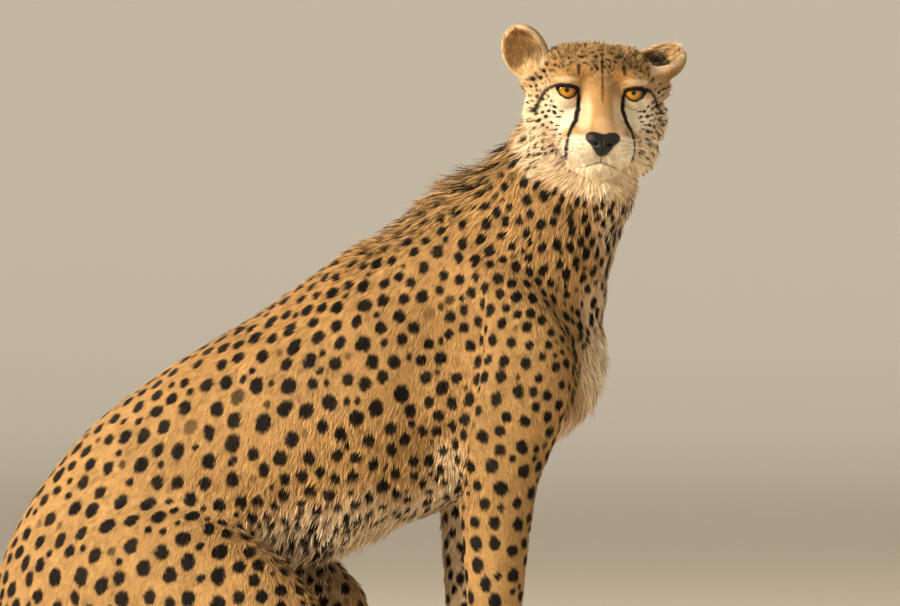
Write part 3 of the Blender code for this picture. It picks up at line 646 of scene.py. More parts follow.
def triangles_of(mesh):
    """The points of a mesh's triangles, one row each."""
    mesh.calc_loop_triangles()
    corners = np.empty(len(mesh.loop_triangles) * 3, np.int32)
    mesh.loop_triangles.foreach_get("vertices", corners)
    return corners.reshape(-1, 3)


def edges_of(mesh):
    """The ends of a mesh's edges, one row each."""
    ends = np.empty(len(mesh.edges) * 2, np.int32)
    mesh.edges.foreach_get("vertices", ends)
    return ends.reshape(-1, 2)


def normals_at(points, triangles):
    """Point normals, weighed by the area of the faces."""
    a, b, c = (points[triangles[:, k]] for k in range(3))
    across = np.cross(b - a, c - a)
    total = np.stack([
        np.bincount(triangles.ravel(), np.repeat(across[:, k], 3), len(points)) for k in range(3)
    ], 1)
    return unit(total)


def relaxed(points, edges, rounds, strength=0.5, share=None):
    """Points drawn towards the middle of their neighbours; share weighs each one."""
    points = points.copy()
    count = np.bincount(edges.ravel(), minlength=len(points))[:, None]
    share = strength if share is None else strength * share[:, None]
    for _ in range(rounds):
        total = np.stack([
            np.bincount(edges[:, 0], points[edges[:, 1], k], len(points))
            + np.bincount(edges[:, 1], points[edges[:, 0], k], len(points)) for k in range(3)
        ], 1)
        points += share * (total / np.maximum(count, 1) - points)
    return points


def applied(obj):
    """obj with its modifiers applied."""
    graph = bpy.context.evaluated_depsgraph_get()
    mesh = bpy.data.meshes.new_from_object(obj.evaluated_get(graph))
    obj.modifiers.clear()
    obj.data = mesh
    return obj


# ---------------------------------------------------------------- the skin

def grown_copy(node, grow):
    """A CAD node's mesh as a new object, grown a little so that it meets its neighbours."""
    mesh = node.data.copy()
    points, triangles = points_of(mesh), triangles_of(mesh)
    points += normals_at(points, triangles) * grow
    mesh.vertices.foreach_set("co", points.astype(np.float32).ravel())
    return linked(node.name + "_copy", mesh)


def one_object(objects, name):
    """The objects' meshes in one new object; they go."""
    bm = bmesh.new()
    for obj in objects:
        bm.from_mesh(obj.data)
        bpy.data.objects.remove(obj)
    mesh = bpy.data.meshes.new(name)
    bm.to_mesh(mesh)
    bm.free()
    return linked(name, mesh)


def tail_path():
    """The tail's middle line in the body's frame: down to the floor and round its hook."""
    forward, side, hook, straight = -63.0, -3.0, 10.5, 24.0
    rows = [
        (-49.5, 21.0, 0.0), (-56.0, 15.0, 0.0),
        (forward + 2.2, 8.2, side * 0.2), (forward, 3.8, side),
    ]
    for step in range(1, 8):
        turn = math.pi * step / 8
        rows.append((forward - hook * 0.42 * math.sin(turn), 2.55, side - hook * (1 - math.cos(turn))))
    end = side - 2 * hook
    for share, out in ((0.35, 0.6), (0.7, 1.6), (1, 1.4)):
        rows.append((forward + straight * share, 2.5, end - out))
    path = np.array(rows)
    shares = np.linspace(0, 1, 6)[:-1, None]
    return np.concatenate([a + (b - a) * shares for a, b in zip(path, path[1:])] + [path[-1:]])


def on_tail(places):
    """For each place: its distance from the tail's line, share of the length, and direction."""
    path = tail_path()
    run = np.linalg.norm(np.diff(path, axis=0), axis=1)
    shares = np.concatenate([[0], np.cumsum(run)]) / run.sum()
    ways = unit(np.gradient(path, axis=0))
    nearest = np.empty(len(places), int)
    for start in range(0, len(places), BATCH):
        part = places[start:start + BATCH]
        nearest[start:start + BATCH] = ((part[:, None] - path[None]) ** 2).sum(2).argmin(1)
    away = np.linalg.norm(places - path[nearest], axis=1)
    along = ((places - path[nearest]) * ways[nearest]).sum(1)
    return away, shares[nearest] + along / run.sum(), ways[nearest]


def tail_share(places):
    """1 on the tail and 0 off it, with a soft step over its root."""
    away, share, _ = on_tail(places)
    # the hook comes forward again, so only the root is told from the seat by how far back it is
    behind = np.minimum(places[:, 0], np.where(share > 0.3, -60.0, places[:, 0]))
    return smooth(0.10, 0.22, share) * smooth(7.5, 5.5, away) * smooth(-48.0, -54.0, behind)


def head_share(points):
    """1 on the head and 0 on the neck, with a soft step behind the jaw."""
    places = places_in(HEAD, points)
    size = np.array((10.0, 10.5, 10.5))
    near = np.linalg.norm((places - np.array((0.5, -0.5, 0.0))) / size, axis=1)
    share = smooth(1.14, 0.92, near)
    for ear in EARS.values():
        local = turned_local(places, ear["middle"], ear_turn(ear))
        share = np.maximum(share, smooth(1.4, 0.6, outside(local, EAR_RADII)))
    return share


def ear_share(places, facing):
    """How much places that face some way belong to an ear, its cup and its back, and the way to
    the ear's tip, all in the head's frame."""
    share, cup, back, tipward = (np.zeros((len(places), k)) for k in (1, 1, 1, 3))
    for ear in EARS.values():
        turn = ear_turn(ear)
        local = turned_local(places, ear["middle"], turn)
        own = smooth(0.75, 0.2, outside(local, EAR_RADII))
        hollow = local + np.array((0, EAR_HOLLOW["ahead"], 0))
        ahead, tip = (in_places(turn @ Vector(way)) for way in ((0, -1, 0), (0, 0, 1)))
        out = unit(hollow) @ np.array(turn).T
        inward = facing[:, 0] * out[:, 1] - facing[:, 1] * out[:, 2] - facing[:, 2] * out[:, 0]
        lined = smooth(1.5, 1.1, outside(hollow, EAR_HOLLOW["radii"]))
        inside = own * lined * smooth(0.15, 0.55, inward)
        share = np.maximum(share, own[:, None])
        cup = np.maximum(cup, inside[:, None])
        back = np.maximum(back, (own * smooth(0.3, 0.8, -facing @ ahead))[:, None])
        tipward += own[:, None] * tip
    return share[:, 0], cup[:, 0], back[:, 0], tipward


def lie_of_coat(points, normals):
    """The coat's length in millimetres, lift in degrees, size of the body's spots, flow along the
    skin, and size of the face's spots."""
    body = places_in(BODY, points)
    rows = [row[0] for row in BODY_LIE]
    values = [(*row[1], *row[2:]) for row in BODY_LIE]
    found = from_rows(mirrored(body), rows, values, near=3.0)
    flow, (length, lift, spot) = found[:, :3], found[:, 3:].T
    flow[:, 2] *= np.sign(body[:, 2])
    share = tail_share(body)[:, None]
    _, along, way = on_tail(body)
    flow = flow * (1 - share) + way * share
    share = share[:, 0]
    longer = TAIL_LIE["tip_length"] - TAIL_LIE["length"]
    tail_length = TAIL_LIE["length"] + longer * smooth(0.8, 1.0, along)
    length += share * (tail_length - length)
    lift += share * (TAIL_LIE["lift"] - lift)
    spot += share * (TAIL_LIE["spot"] - spot)
    flow = directions_out(BODY, flow)

    head = places_in(HEAD, points)
    folded = mirrored(head)
    head_length, head_lift, head_spot = from_rows(
        folded, [row[0] for row in HEAD_LIE], [row[1:] for row in HEAD_LIE], near=0.8).T
    # on the face the hair runs away from the nose, and down over the jowls
    away = unit(head - np.array((8.4, -3.9, 0.0)))
    away[:, 1] -= 0.9 * smooth(4.5, 7.0, folded[:, 2]) * smooth(-1.0, -4.5, folded[:, 1])
    ears, cup, _, tipward = ear_share(head, directions_in(HEAD, normals))
    away = away * (1 - ears)[:, None] + tipward
    head_length += (
        ears * (EAR_LIE["length"] - head_length)
        + cup * (EAR_LIE["inner_length"] - EAR_LIE["length"]))
    head_lift += (
        ears * (EAR_LIE["lift"] - head_lift)
        + cup * (EAR_LIE["inner_lift"] - EAR_LIE["lift"]))
    head_spot *= 1 - ears
    # at the lids the hair is shortest, so that it leaves the eyes free
    gap = np.minimum(*(lid_opening(head, sign)[0] for sign in SIDES.values()))
    head_length *= 0.30 + 0.70 * smooth(0.1, 0.9, gap)
    share = head_share(points)
    flow = flow * (1 - share)[:, None] + directions_out(HEAD, away) * share[:, None]
    length += share * (head_length - length)
    lift += share * (head_lift - lift)
    spot = spot * (1 - share)
    flow -= normals * (flow * normals).sum(1)[:, None]
    return length, lift, spot, unit(flow), head_spot * share


def fold_depth(places):
    """How far the skin sinks in the fold behind the shoulder, in centimetres."""
    up, forward, depth = np.array(SHOULDER_FOLD).T
    behind = np.interp(places[:, 1], up, forward) - places[:, 0]
    sunk = np.interp(places[:, 1], up, depth, left=0, right=0) * smooth(3.0, 6.0, np.abs(places[:, 2]))
    width = np.where(behind > 0, FOLD_WIDTH["behind"], FOLD_WIDTH["ahead"])
    return sunk * np.exp(-(behind / width) ** 2)


def body_skin(settings):
    """The body under its coat: the nodes of flesh joined, smoothed and drawn in."""
    nodes = [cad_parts[name] for name in COAT_OF_NODE if not name.startswith("ear")]
    body = one_object([grown_copy(node, 0.5 * MM) for node in nodes], "body_skin")
    joined_up = body.modifiers.new("joined", "REMESH")
    joined_up.mode = "VOXEL"
    joined_up.voxel_size = settings.body_step
    applied(body)
    points, triangles, edges = points_of(body.data), triangles_of(body.data), edges_of(body.data)
    places = places_in(BODY, points)
    paws = smooth(9.0, 5.0, places[:, 1]) * (tail_share(places) < 0.5)
    points = relaxed(points, edges, settings.body_smoothing, share=1 - 0.86 * paws)
    points -= normals_at(points, triangles) * fold_depth(places_in(BODY, points))[:, None] * CM
    # drawn in by the coat's depth, and inside the head far enough for the head's own skin to cover it
    core = world_points(HEAD, np.array([(-1.0, -2.0, 0.0)]))
    for _ in range(2):
        normals = normals_at(points, triangles)
        length, lift, *_ = lie_of_coat(points, normals)
        inset = (0.5 + 0.42 * length * np.sin(np.radians(lift))) * MM
        from_head = blended(places_in(HEAD, points), HEAD_FORMS, HEAD_SOFTNESS)
        in_head = smooth(1.5, 0.0, np.maximum(0, from_head))
        points -= normals * (inset * (1 - in_head))[:, None]
        points += (core - points) * (0.13 * in_head)[:, None]
        points = relaxed(points, edges, 3)
    points[:, 2] = np.maximum(points[:, 2], 0.4 * MM)
    body.data.vertices.foreach_set("co", points.astype(np.float32).ravel())
    body.data.update()
    return body


def head_skin(settings):
    """The head with its ears, lids and mouth, from its field."""
    points, faces = field_mesh(settings.head_step / CM, *HEAD_BOX, head_depth)
    points = settled(points, head_depth)
    return mesh_object("head_skin", world_points(HEAD, points), faces)


def union(first, second, name):
    """Two closed skins in one; the second goes."""
    join = first.modifiers.new("join", "BOOLEAN")
    join.operation = "UNION"
    join.solver = "MANIFOLD"
    join.object = second
    before = len(first.data.vertices)
    applied(first)
    if len(first.data.vertices) <= before:
        raise RuntimeError("the head's skin didn't join the body's")
    bpy.data.objects.remove(second)
    first.name = first.data.name = name
    return first


# ---------------------------------------------------------------- markings

class Marks:
    """Spots over the body and face, found once from the skin and painted on skin and coat alike."""

    def __init__(self, skin, settings):
        points, normals, flow = skin.points, skin.normals, skin.flow
        spot, face_spot = skin.spot, skin.face_spot
        rng = np.random.default_rng(settings.spot_seed)
        order = rng.permutation(len(points))[:SPOT_PLACES]
        self.rows = []
        self.scatter(points[order], normals[order], flow[order], spot[order], rng, BODY_ROUNDS)
        face = order[(face_spot[order] > FACE_LEAST) & ~face_is_bare(places_in(HEAD, points[order]))]
        high = smooth(2.2, 3.2, places_in(HEAD, points[face])[:, 1])[:, None]
        ways = unit(flow[face] * (1 - high) + np.cross(normals[face], flow[face]) * high)
        self.scatter(points[face], normals[face], ways, face_spot[face], rng, FACE_ROUNDS)
        self.centres = np.array([row[0] for row in self.rows])
        self.reach = np.array([row[3] * row[4] * 1.3 for row in self.rows])

    def scatter(self, points, normals, flow, size, rng, rounds):
        """Throws large spots first, then small ones between them, none too close to another."""
        small = rounds is FACE_ROUNDS
        cells = {}
        cell_size = 3.2 * CM
        for bigness, apart, odds, faint_odds, least in rounds:
            for i in np.flatnonzero((size > least) & (rng.random(len(size)) < odds)):
                x, y, z = points[i]
                radius = size[i] * bigness * rng.uniform(0.84, 1.14) * CM
                if small:
                    long = rng.uniform(1.3, 2.0) + 1.2 * smooth(0.16, 0.10, size[i])
                else:
                    long = 1.08 + 0.22 * rng.random() + 0.8 * smooth(0.52, 0.34, size[i])
                room = radius * (math.sqrt(long) if small else 1)
                corner = (int(x // cell_size), int(y // cell_size), int(z // cell_size))
                crowded = any(
                    (x - a) ** 2 + (y - b) ** 2 + (z - c) ** 2 < (apart * (room + other)) ** 2
                    for step in NEIGHBOURS
                    for a, b, c, other in cells.get(tuple(map(sum, zip(corner, step))), ()))
                if crowded:
                    continue
                cells.setdefault(corner, []).append((x, y, z, room))
                dark = rng.uniform(0.5, 0.85) if rng.random() < faint_odds else rng.uniform(0.975, 1.0)
                lean = rng.normal(0, 0.22)
                along = flow[i] * math.cos(lean) + np.cross(normals[i], flow[i]) * math.sin(lean)
                self.rows.append((points[i], along, normals[i], radius, long, dark))

    def darkness(self, points):
        """How dark each point is with spots, from 0 to 1."""
        dark = np.zeros(len(points))
        order = np.argsort(points[:, 2])
        placed, heights = points[order], points[order, 2]
        ragged = noise(placed, 3.2 * MM, 11) * 0.10 + noise(placed, 9 * MM, 12) * 0.14
        found = np.zeros(len(points))
        reach = self.reach[:, None]
        close = ((self.centres > points.min(0) - reach) & (self.centres < points.max(0) + reach)).all(1)
        for row in np.flatnonzero(close):
            centre, along, normal, radius, long, strength = self.rows[row]
            far = self.reach[row]
            first, last = np.searchsorted(heights, (centre[2] - far, centre[2] + far))
            away = placed[first:last] - centre
            near = np.flatnonzero(np.einsum("ij,ij->i", away, away) < far**2)
            if not len(near):
                continue
            away = away[near]
            across = np.cross(normal, along)
            axes = np.stack([along / (radius * long), across / radius, normal / (radius * 1.4)], 1)
            ring = np.linalg.norm(away @ axes, axis=1) + ragged[first + near]
            found[first + near] = np.maximum(found[first + near], strength * smooth(1.07, 0.93, ring))
        dark[order] = found
        return dark


def face_is_bare(head):
    """Whether no spot grows at places on the face: the muzzle, round the eyes and the chin."""
    forward, up, side = head[:, 0], head[:, 1], np.abs(head[:, 2])
    muzzle = (forward > 3.5) & (side < 3.6) & (up < 1.4)
    round_eye = (np.hypot(side - EYE_PLACE[2], up - EYE_PLACE[1]) < 1.9) & (forward > 2)
    chin = (up < -6.8) & (forward > 0)
    return muzzle | round_eye | chin


def face_darkness(head):
    """Tear lines, eye rims, brow spots, mouth line and whisker spots: black and brown shares."""
    flat = np.stack([np.abs(head[:, 2]), head[:, 1]], 1)
    facing = smooth(0.4, 1.6, head[:, 0])
    rough = noise(head, 0.35, 21) * 0.05 + noise(head, 0.12, 22) * 0.03
    black = np.zeros(len(head))
    for line, widths, strength in FACE_MARKS:
        far, along = line_distance(flat, line)
        width = np.interp(along, np.arange(len(widths)), widths)
        mark = strength * smooth(0.09, -0.05, far - width + rough)
        black = np.maximum(black, mark * facing)
    for sign in SIDES.values():
        gap, far = lid_opening(head, sign)
        upper = smooth(-0.2, 0.5, head[:, 1])
        rim = smooth(0.08, -0.03, gap - EYE_RIM - UPPER_RIM * upper + rough) * smooth(3.2, 2.4, far)
        black = np.maximum(black, rim)
    lips, _ = line_distance(flat, MOUTH)
    cleft, _ = line_distance(flat, LIP_CLEFT)
    ahead = smooth(4.0, 5.5, head[:, 0])
    mouth = smooth(0.12, 0.03, lips) * smooth(2.6, 1.2, flat[:, 0])
    black = np.maximum(black, ahead * np.maximum(mouth * 0.9, smooth(0.11, 0.03, cleft) * 0.85))
    pad = blended(head, NOSE_FORMS, NOSE_SOFTNESS)
    black = np.maximum(black, smooth(0.10, 0.02, pad))
    brown = np.zeros(len(head))
    rows = WHISKER_ROWS
    for row in range(rows["rows"]):
        for step in range(rows["count"]):
            side = rows["start"] + rows["step"] * step + 0.12 * (row % 2)
            up = rows["top"] - rows["apart"] * row + 0.05 * step * (row - 1)
            far = np.hypot((flat[:, 0] - side) * 0.55, flat[:, 1] - up)
            brown = np.maximum(brown, smooth(0.10, 0.03, far + rough * 0.5) * ahead * 0.6)
    return black, brown


def toned(shade, weight, colour):
    """shade drawn towards a colour by a weight at each point."""
    return shade + weight[:, None] * (colour - shade)


def patched(shade, places, patches, share, palette):
    """shade with soft patches of colour over it, where share is 1."""
    blur = noise(places, 2.2, 31) * 0.10 + noise(places, 0.7, 32) * 0.06
    folded = mirrored(places)
    for centre, radii, name, strength in patches:
        near = np.linalg.norm((folded - np.array(centre)) / np.array(radii), axis=1) + blur
        shade = toned(shade, strength * smooth(1.22, 0.68, near) * share, palette[name])
    return shade


def tail_marks(body):
    """Where the tail carries rings instead of spots, its dark rings, and its pale tip."""
    _, along, _ = on_tail(body)
    tail = tail_share(body)
    ringed = tail * (smooth(0.60, 0.66, along) * smooth(0.955, 0.945, along))
    wave = np.sin((along - 0.62) * 2 * math.pi / 0.082) + noise(body, 1.2, 41) * 0.35
    return ringed, ringed * smooth(-0.25, 0.15, wave), tail * smooth(0.945, 0.965, along)


def ear_marks(head, cup):
    """The black patch behind the ears, their pale rims, and the painted shade deep in their cups."""
    patch, rim, low = (np.zeros(len(head)) for _ in range(3))
    for ear in EARS.values():
        local = ear_local(head, ear)
        near = smooth(3.6, 2.9, np.linalg.norm(local / np.array((0.8, 1.05, 0.85)), axis=1))
        patch = np.maximum(patch, near * smooth(1.5, 0.7, np.abs(local[:, 1] + 0.6)))
        rim = np.maximum(rim, near * smooth(-0.1, 0.5, local[:, 0]) * (1 - cup))
        # the dark place is painted shade in the ear's hollow
        middle, reach, strength = ear["dark"]
        away = np.linalg.norm((head[:, 1:] - np.array(middle)) / np.array(reach), axis=1)
        low = np.maximum(low, strength * near * smooth(1.2, 0.75, away + 0.3 * noise(local, 0.4, 52)))
    return patch, rim, low


def coat_colours(points, normals, marks, colours):
    """The coat's colour at points of the skin, and how dark it is with marks."""
    body = places_in(BODY, points)
    head = places_in(HEAD, points)
    in_head = head_share(points)
    palette = {name: np.array(getattr(colours, name)) for name in ColourSettings.__annotations__}

    shade = palette["tawny"] * np.ones((len(points), 1))
    shade = patched(shade, body, BODY_PATCHES, 1 - in_head, palette)
    under = smooth(-0.15, -0.75, normals[:, 2]) * (1 - in_head) * smooth(30.0, 10.0, body[:, 1])
    shade = toned(shade, 0.5 * under, palette["cream"])
    shade = patched(shade, head, HEAD_PATCHES, in_head, palette)

    black, brown = face_darkness(head)
    dark = np.maximum(marks.darkness(points), black * in_head)

    ringed, ring, tip = tail_marks(body)
    dark = np.maximum(dark * (1 - ringed), ring) * (1 - tip)
    shade = toned(shade, tip, palette["white"])

    ears, cup, behind, _ = ear_share(head, directions_in(HEAD, normals))
    ears, cup, behind = ears * in_head, cup * in_head, behind * in_head
    patch, rim, low = ear_marks(head, cup)
    dark = np.maximum(dark, behind * patch * 0.9)
    inner = palette["ear_inner"]
    inner = toned(inner, 0.7 * smooth(0.0, 0.7, noise(head, 0.16, 51)), palette["cream"])
    shade = toned(shade, 0.9 * cup, inner)
    shade = toned(shade, rim * ears * 0.75, palette["cream"])
    # painted shade in the ears' hollows
    dark = np.maximum(dark, np.minimum(1, 1.6 * cup) * low * (0.9 + 0.3 * noise(head, 0.18, 53)))

    shade = shade * (1 + 0.10 * noise(body, 5.0, 61) + 0.05 * noise(body, 1.1, 62))[:, None]
    shade = toned(shade, brown * in_head, palette["brown"])
    shade = toned(shade, dark, palette["black"])
    return np.clip(shade, 0.002, 1), dark


def write_colour(mesh, colours):
    """Stores a colour, with or without its alpha, for each point of the mesh."""
    layer = mesh.color_attributes.new(COLOUR_LAYER, "FLOAT_COLOR", "POINT")
    full = np.ones((len(colours), 4), np.float32)
    full[:, :colours.shape[1]] = colours
    layer.data.foreach_set("color", full.ravel())


# ---------------------------------------------------------------- the coat

# Tufts by their length: from how many millimetres, then the rows from the root to the pointed tip
# as share of the length and share of the width.
TUFTS = (
    (0.0, ((0.0, 1.0), (1.0, 0.0))),
    (9.5, ((0.0, 0.85), (0.5, 1.0), (1.0, 0.0))),
    (16.0, ((0.0, 0.8), (0.36, 1.0), (0.72, 0.66), (1.0, 0.0))),
)
TUFT_SINK = 0.4 * MM

workshop = {}      # the skin's arrays and the marks, kept from the skin's operator for the coat's


class Skin:
    """The finished skin as arrays: points, triangles, normals, the lie of the coat and an unwrap."""

    def __init__(self, obj):
        mesh = obj.data
        self.points, self.triangles = points_of(mesh), triangles_of(mesh)
        self.normals = normals_at(self.points, self.triangles)
        self.length, self.lift, self.spot, self.flow, self.face_spot = lie_of_coat(self.points, self.normals)
        self.part = self.parts()
        self.unwrap = self.unwrapped()

    def parts(self):
        """Which part of the coat each point carries, by the nearest node of flesh."""
        points, faces, owner = [], [], []
        count = 0
        for name, part in COAT_OF_NODE.items():
            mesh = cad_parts[name].data
            corners = triangles_of(mesh) + count
            points.append(points_of(mesh))
            faces.append(corners)
            owner += [COAT_PARTS.index(part)] * len(corners)
            count += len(mesh.vertices)
        tree = BVHTree.FromPolygons(np.concatenate(points).tolist(), np.concatenate(faces).tolist())
        found = [tree.find_nearest(point)[2] for point in self.points.tolist()]
        return np.array(owner)[found]

    def unwrapped(self):
        """Where each point lies on a flat unwrap: a box round each side of each part, in a sheet."""
        steepest = np.abs(self.normals).argmax(1)
        along = np.take_along_axis(self.normals, steepest[:, None], 1)[:, 0]
        box_sides = steepest * 2 + (along > 0)
        on_left = self.points[:, 0] > BODY.translation.x
        sheet = np.zeros((len(self.points), 2))
        across_sheet = 12
        for part in range(len(COAT_PARTS)):
            for left in (0, 1):
                for face in range(6):
                    own = (self.part == part) & (on_left == left) & (box_sides == face)
                    if not own.any():
                        continue
                    flat = np.delete(self.points[own], face // 2, axis=1)
                    low = flat.min(0)
                    size = max((flat.max(0) - low).max(), 1e-6)
                    cell = (part * 2 + left) * 6 + face
                    corner = np.array((cell % across_sheet, cell // across_sheet))
                    sheet[own] = (corner + 0.04 + 0.9 * (flat - low) / size) / across_sheet
        return sheet


def area_and_length(skin, chosen):
    """The area of the chosen triangles, and the length of the coat on them."""
    a, b, c = (skin.points[skin.triangles[chosen, k]] for k in range(3))
    area = np.linalg.norm(np.cross(b - a, c - a), axis=1) / 2
    return area, skin.length[skin.triangles[chosen]].mean(1)


def roots_on(skin, chosen, count, rng):
    """Random roots on the chosen triangles, thicker where the coat is short: triangle and shares."""
    area, length = area_and_length(skin, chosen)
    odds = area / (length * tuft_width(length))
    picked = rng.choice(len(chosen), size=count, p=odds / odds.sum())
    first, second = rng.random(count), rng.random(count)
    over = first + second > 1
    first[over], second[over] = 1 - first[over], 1 - second[over]
    return chosen[picked], np.stack([1 - first - second, first, second], 1)


def tuft_width(length):
    """How wide a tuft of that length is, both in millimetres."""
    return np.clip(0.40 + 0.034 * length, 0.44, 1.30)


def kind_of_tuft(length):
    """Which row of TUFTS each length in millimetres takes."""
    return np.searchsorted([least for least, _ in TUFTS], length, side="right") - 1


def wanted_tufts(skin, chosen, cover):
    """How many tufts cover the chosen triangles that many times over, and triangles in each."""
    area, length = area_and_length(skin, chosen)
    many = area / (0.5 * length * tuft_width(length) * MM**2)
    return int(cover * many.sum()), (many * (2 * kind_of_tuft(length) + 1)).sum() / many.sum()


def blended_from(values, corners, shares):
    """Values at roots, from those at the corners of their triangles."""
    if values.ndim == 1:
        return (values[corners] * shares).sum(1)
    return (values[corners] * shares[:, :, None]).sum(1)


def tuft_piece(name, skin, chosen, count, marks, scene, seed):
    """One piece of the coat: pointed tufts over the chosen triangles, in one mesh."""
    settings, colours = scene.cheetah_coat, scene.cheetah_colours
    rng = np.random.default_rng(seed)
    triangle, shares = roots_on(skin, chosen, count, rng)
    corners = skin.triangles[triangle]
    root = blended_from(skin.points, corners, shares)
    normal = unit(blended_from(skin.normals, corners, shares))
    flow = unit(blended_from(skin.flow, corners, shares))
    length = blended_from(skin.length, corners, shares)
    lift = np.radians(blended_from(skin.lift, corners, shares))
    unwrap = blended_from(skin.unwrap, corners, shares)

    # the lie wanders in broad waves and in small locks, and every tuft a little on its own
    broad = noise(root, 32 * MM, 71, 2)
    locks = noise(root, 7 * MM, 72, 3)
    own = rng.normal(0, 1, (count, 5))
    loose = smooth(6, 22, length)
    sway = 0.14 * broad[:, 0] + (0.26 + 0.12 * loose) * locks[:, 0] + 0.12 * own[:, 0]
    side = np.cross(normal, flow)
    flow = flow * np.cos(sway)[:, None] + side * np.sin(sway)[:, None]
    side = np.cross(normal, flow)
    lift = lift * np.clip(1 + 0.45 * locks[:, 1] + 0.16 * own[:, 1], 0.3, 1.8)
    length = length * np.clip(1 + 0.18 * locks[:, 2] + 0.16 * own[:, 2], 0.5, 1.6)
    width = tuft_width(length) * rng.uniform(0.75, 1.2, count)
    roll = 0.34 * own[:, 3]
    wide = side * np.cos(roll)[:, None] + normal * np.sin(roll)[:, None]
    tone = 1 + 0.14 * own[:, 4] + 0.32 * noise(root, 2.8 * MM, 73) + 0.16 * noise(root, 9 * MM, 74)
    # painted shade: each tuft darkens towards its root, where the tufts over it would shade it; longer hair
    # more so
    painted_root_shade = 1 - (1 - settings.painted_root_shade) * (0.45 + 0.55 * loose)

    points, shades, patches, rows_of = [], [], [], []
    kind = kind_of_tuft(length)
    for each, (_, rows) in enumerate(TUFTS):
        picked = np.flatnonzero(kind == each)
        if not len(picked):
            continue
        size = (length[picked] * MM)[:, None]
        rise, run = np.sin(lift[picked])[:, None], np.cos(lift[picked])[:, None]
        strands, colour_rows, patch_rows = [], [], []
        for share, broadness in rows:
            bend = share * (1.12 - 0.34 * share)
            below = root[picked] + size * flow[picked] * share * run
            middle = below + normal[picked] * (size * bend * rise - TUFT_SINK)
            # every row reads the marks near the middle of its tuft, so that they keep their outlines
            read = root[picked] + size * flow[picked] * (0.30 + 0.30 * share) * run
            shade, dark = coat_colours(read, normal[picked], marks, colours)
            # painted shading along the tuft: darkest at the root, a little past full brightness at the tip
            root_to_tip_shading = painted_root_shade[picked] + (1.08 - painted_root_shade[picked]) * share
            shade = shade * (root_to_tip_shading * (1 + (tone[picked] - 1) * (1 - 0.7 * dark)))[:, None]
            half = wide[picked] * (width[picked] * MM * 0.5 * broadness)[:, None]
            for edge in ((-1, 1) if broadness else (0,)):
                strands.append(middle + edge * half)
                colour_rows.append(shade)
                patch_rows.append(unwrap[picked] + np.array((edge / 2, share - 0.5)) * settings.bake_patch)
        points.append(np.stack(strands, 1))
        shades.append(np.stack(colour_rows, 1))
        patches.append(np.stack(patch_rows, 1))
        rows_of.append(len(rows) - 1)
    return tuft_mesh(name, points, shades, patches, rows_of)


def tuft_mesh(name, point_groups, shade_groups, patch_groups, rows_of):
    """Writes tufts as one mesh with colours and the bake map."""
    loops, sizes = [], []
    base = 0
    for points, rows in zip(point_groups, rows_of):
        many, wide = points.shape[:2]
        first = base + np.arange(many)[:, None] * wide
        for at in range(0, 2 * rows - 2, 2):
            loops.append((first + np.array((at, at + 1, at + 3, at + 2))).ravel())
            sizes.append(np.full(many, 4, np.int32))
        loops.append((first + np.array((2 * rows - 2, 2 * rows - 1, 2 * rows))).ravel())
        sizes.append(np.full(many, 3, np.int32))
        base += many * wide
    loops, sizes = np.concatenate(loops), np.concatenate(sizes)
    points = np.concatenate([group.reshape(-1, 3) for group in point_groups])
    points[:, 2] = np.maximum(points[:, 2], 0.3 * MM)
    mesh = mesh_from(name, points, loops, np.concatenate([[0], np.cumsum(sizes)[:-1]]))
    write_colour(mesh, np.clip(np.concatenate([group.reshape(-1, 3) for group in shade_groups]), 0.001, 1))
    uv = mesh.uv_layers.new(name="OFBake")
    patches = np.concatenate([group.reshape(-1, 2) for group in patch_groups])
    uv.data.foreach_set("uv", np.clip(patches[loops], 0, 1).astype(np.float32).ravel())
    mesh.shade_smooth()
    return linked(name, mesh)


def is_bare(head):
    """Whether places in the head's frame carry no hair: the nose, and the eyes within their lids."""
    bare = blended(head, NOSE_FORMS, NOSE_SOFTNESS) < 0.05
    radius = eye_radius()
    for sign in SIDES.values():
        gap, far = lid_opening(head, sign)
        bare |= (far < radius + 0.02) | ((gap < 0.04) & (far < radius + 0.6))
    return bare


def coat_pieces(scene, part, pieces):
    """Covers a part of the skin with tufts, one piece for each given choice of triangles, each held to the
    most triangles.
    """
    skin, marks = workshop["skin"], workshop["marks"]
    settings = scene.cheetah_coat
    owner = skin.part[skin.triangles[:, 0]]
    centre = skin.points[skin.triangles].mean(1)
    for name, choose in pieces:
        chosen = np.flatnonzero((owner == COAT_PARTS.index(part)) & choose(centre))
        chosen = chosen[~is_bare(places_in(HEAD, centre[chosen]))]
        cover = settings.cover * PART_COVER[part]
        count, each = wanted_tufts(skin, chosen, cover)
        count = min(count, int(settings.most_triangles / each))
        seed = settings.seed + sum(map(ord, name))
        made = tuft_piece(f"coat_{name}", skin, chosen, count, marks, scene, seed)
        made.data.materials.append(fur_material(scene))
        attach(made, "root")
        print(f"coat_{name}: {count} tufts, {sum(len(p.vertices) - 2 for p in made.data.polygons)} triangles")


# ---------------------------------------------------------------- materials

def new_material(name, roughness, specular=0.5):
    """A material with its shader, its nodes and its links."""
    material = bpy.data.materials.new(name)
    material.use_nodes = True
    shader = material.node_tree.nodes["Principled BSDF"]
    shader.inputs["Roughness"].default_value = roughness
    shader.inputs["Specular IOR Level"].default_value = specular
    return material, shader, material.node_tree.nodes, material.node_tree.links


def pattern(nodes, kind, scale, detail=None):
    """A texture node, with its scale in lumps for each metre and its detail."""
    node = nodes.new(kind)
    node.inputs["Scale"].default_value = scale
    if detail is not None:
        node.inputs["Detail"].default_value = detail
    return node


def spread_over(nodes, links, value, low, high):
    """A value from 0 to 1 spread from low to high."""
    node = nodes.new("ShaderNodeMapRange")
    node.inputs["To Min"].default_value = low
    node.inputs["To Max"].default_value = high
    links.new(value, node.inputs["Value"])
    return node


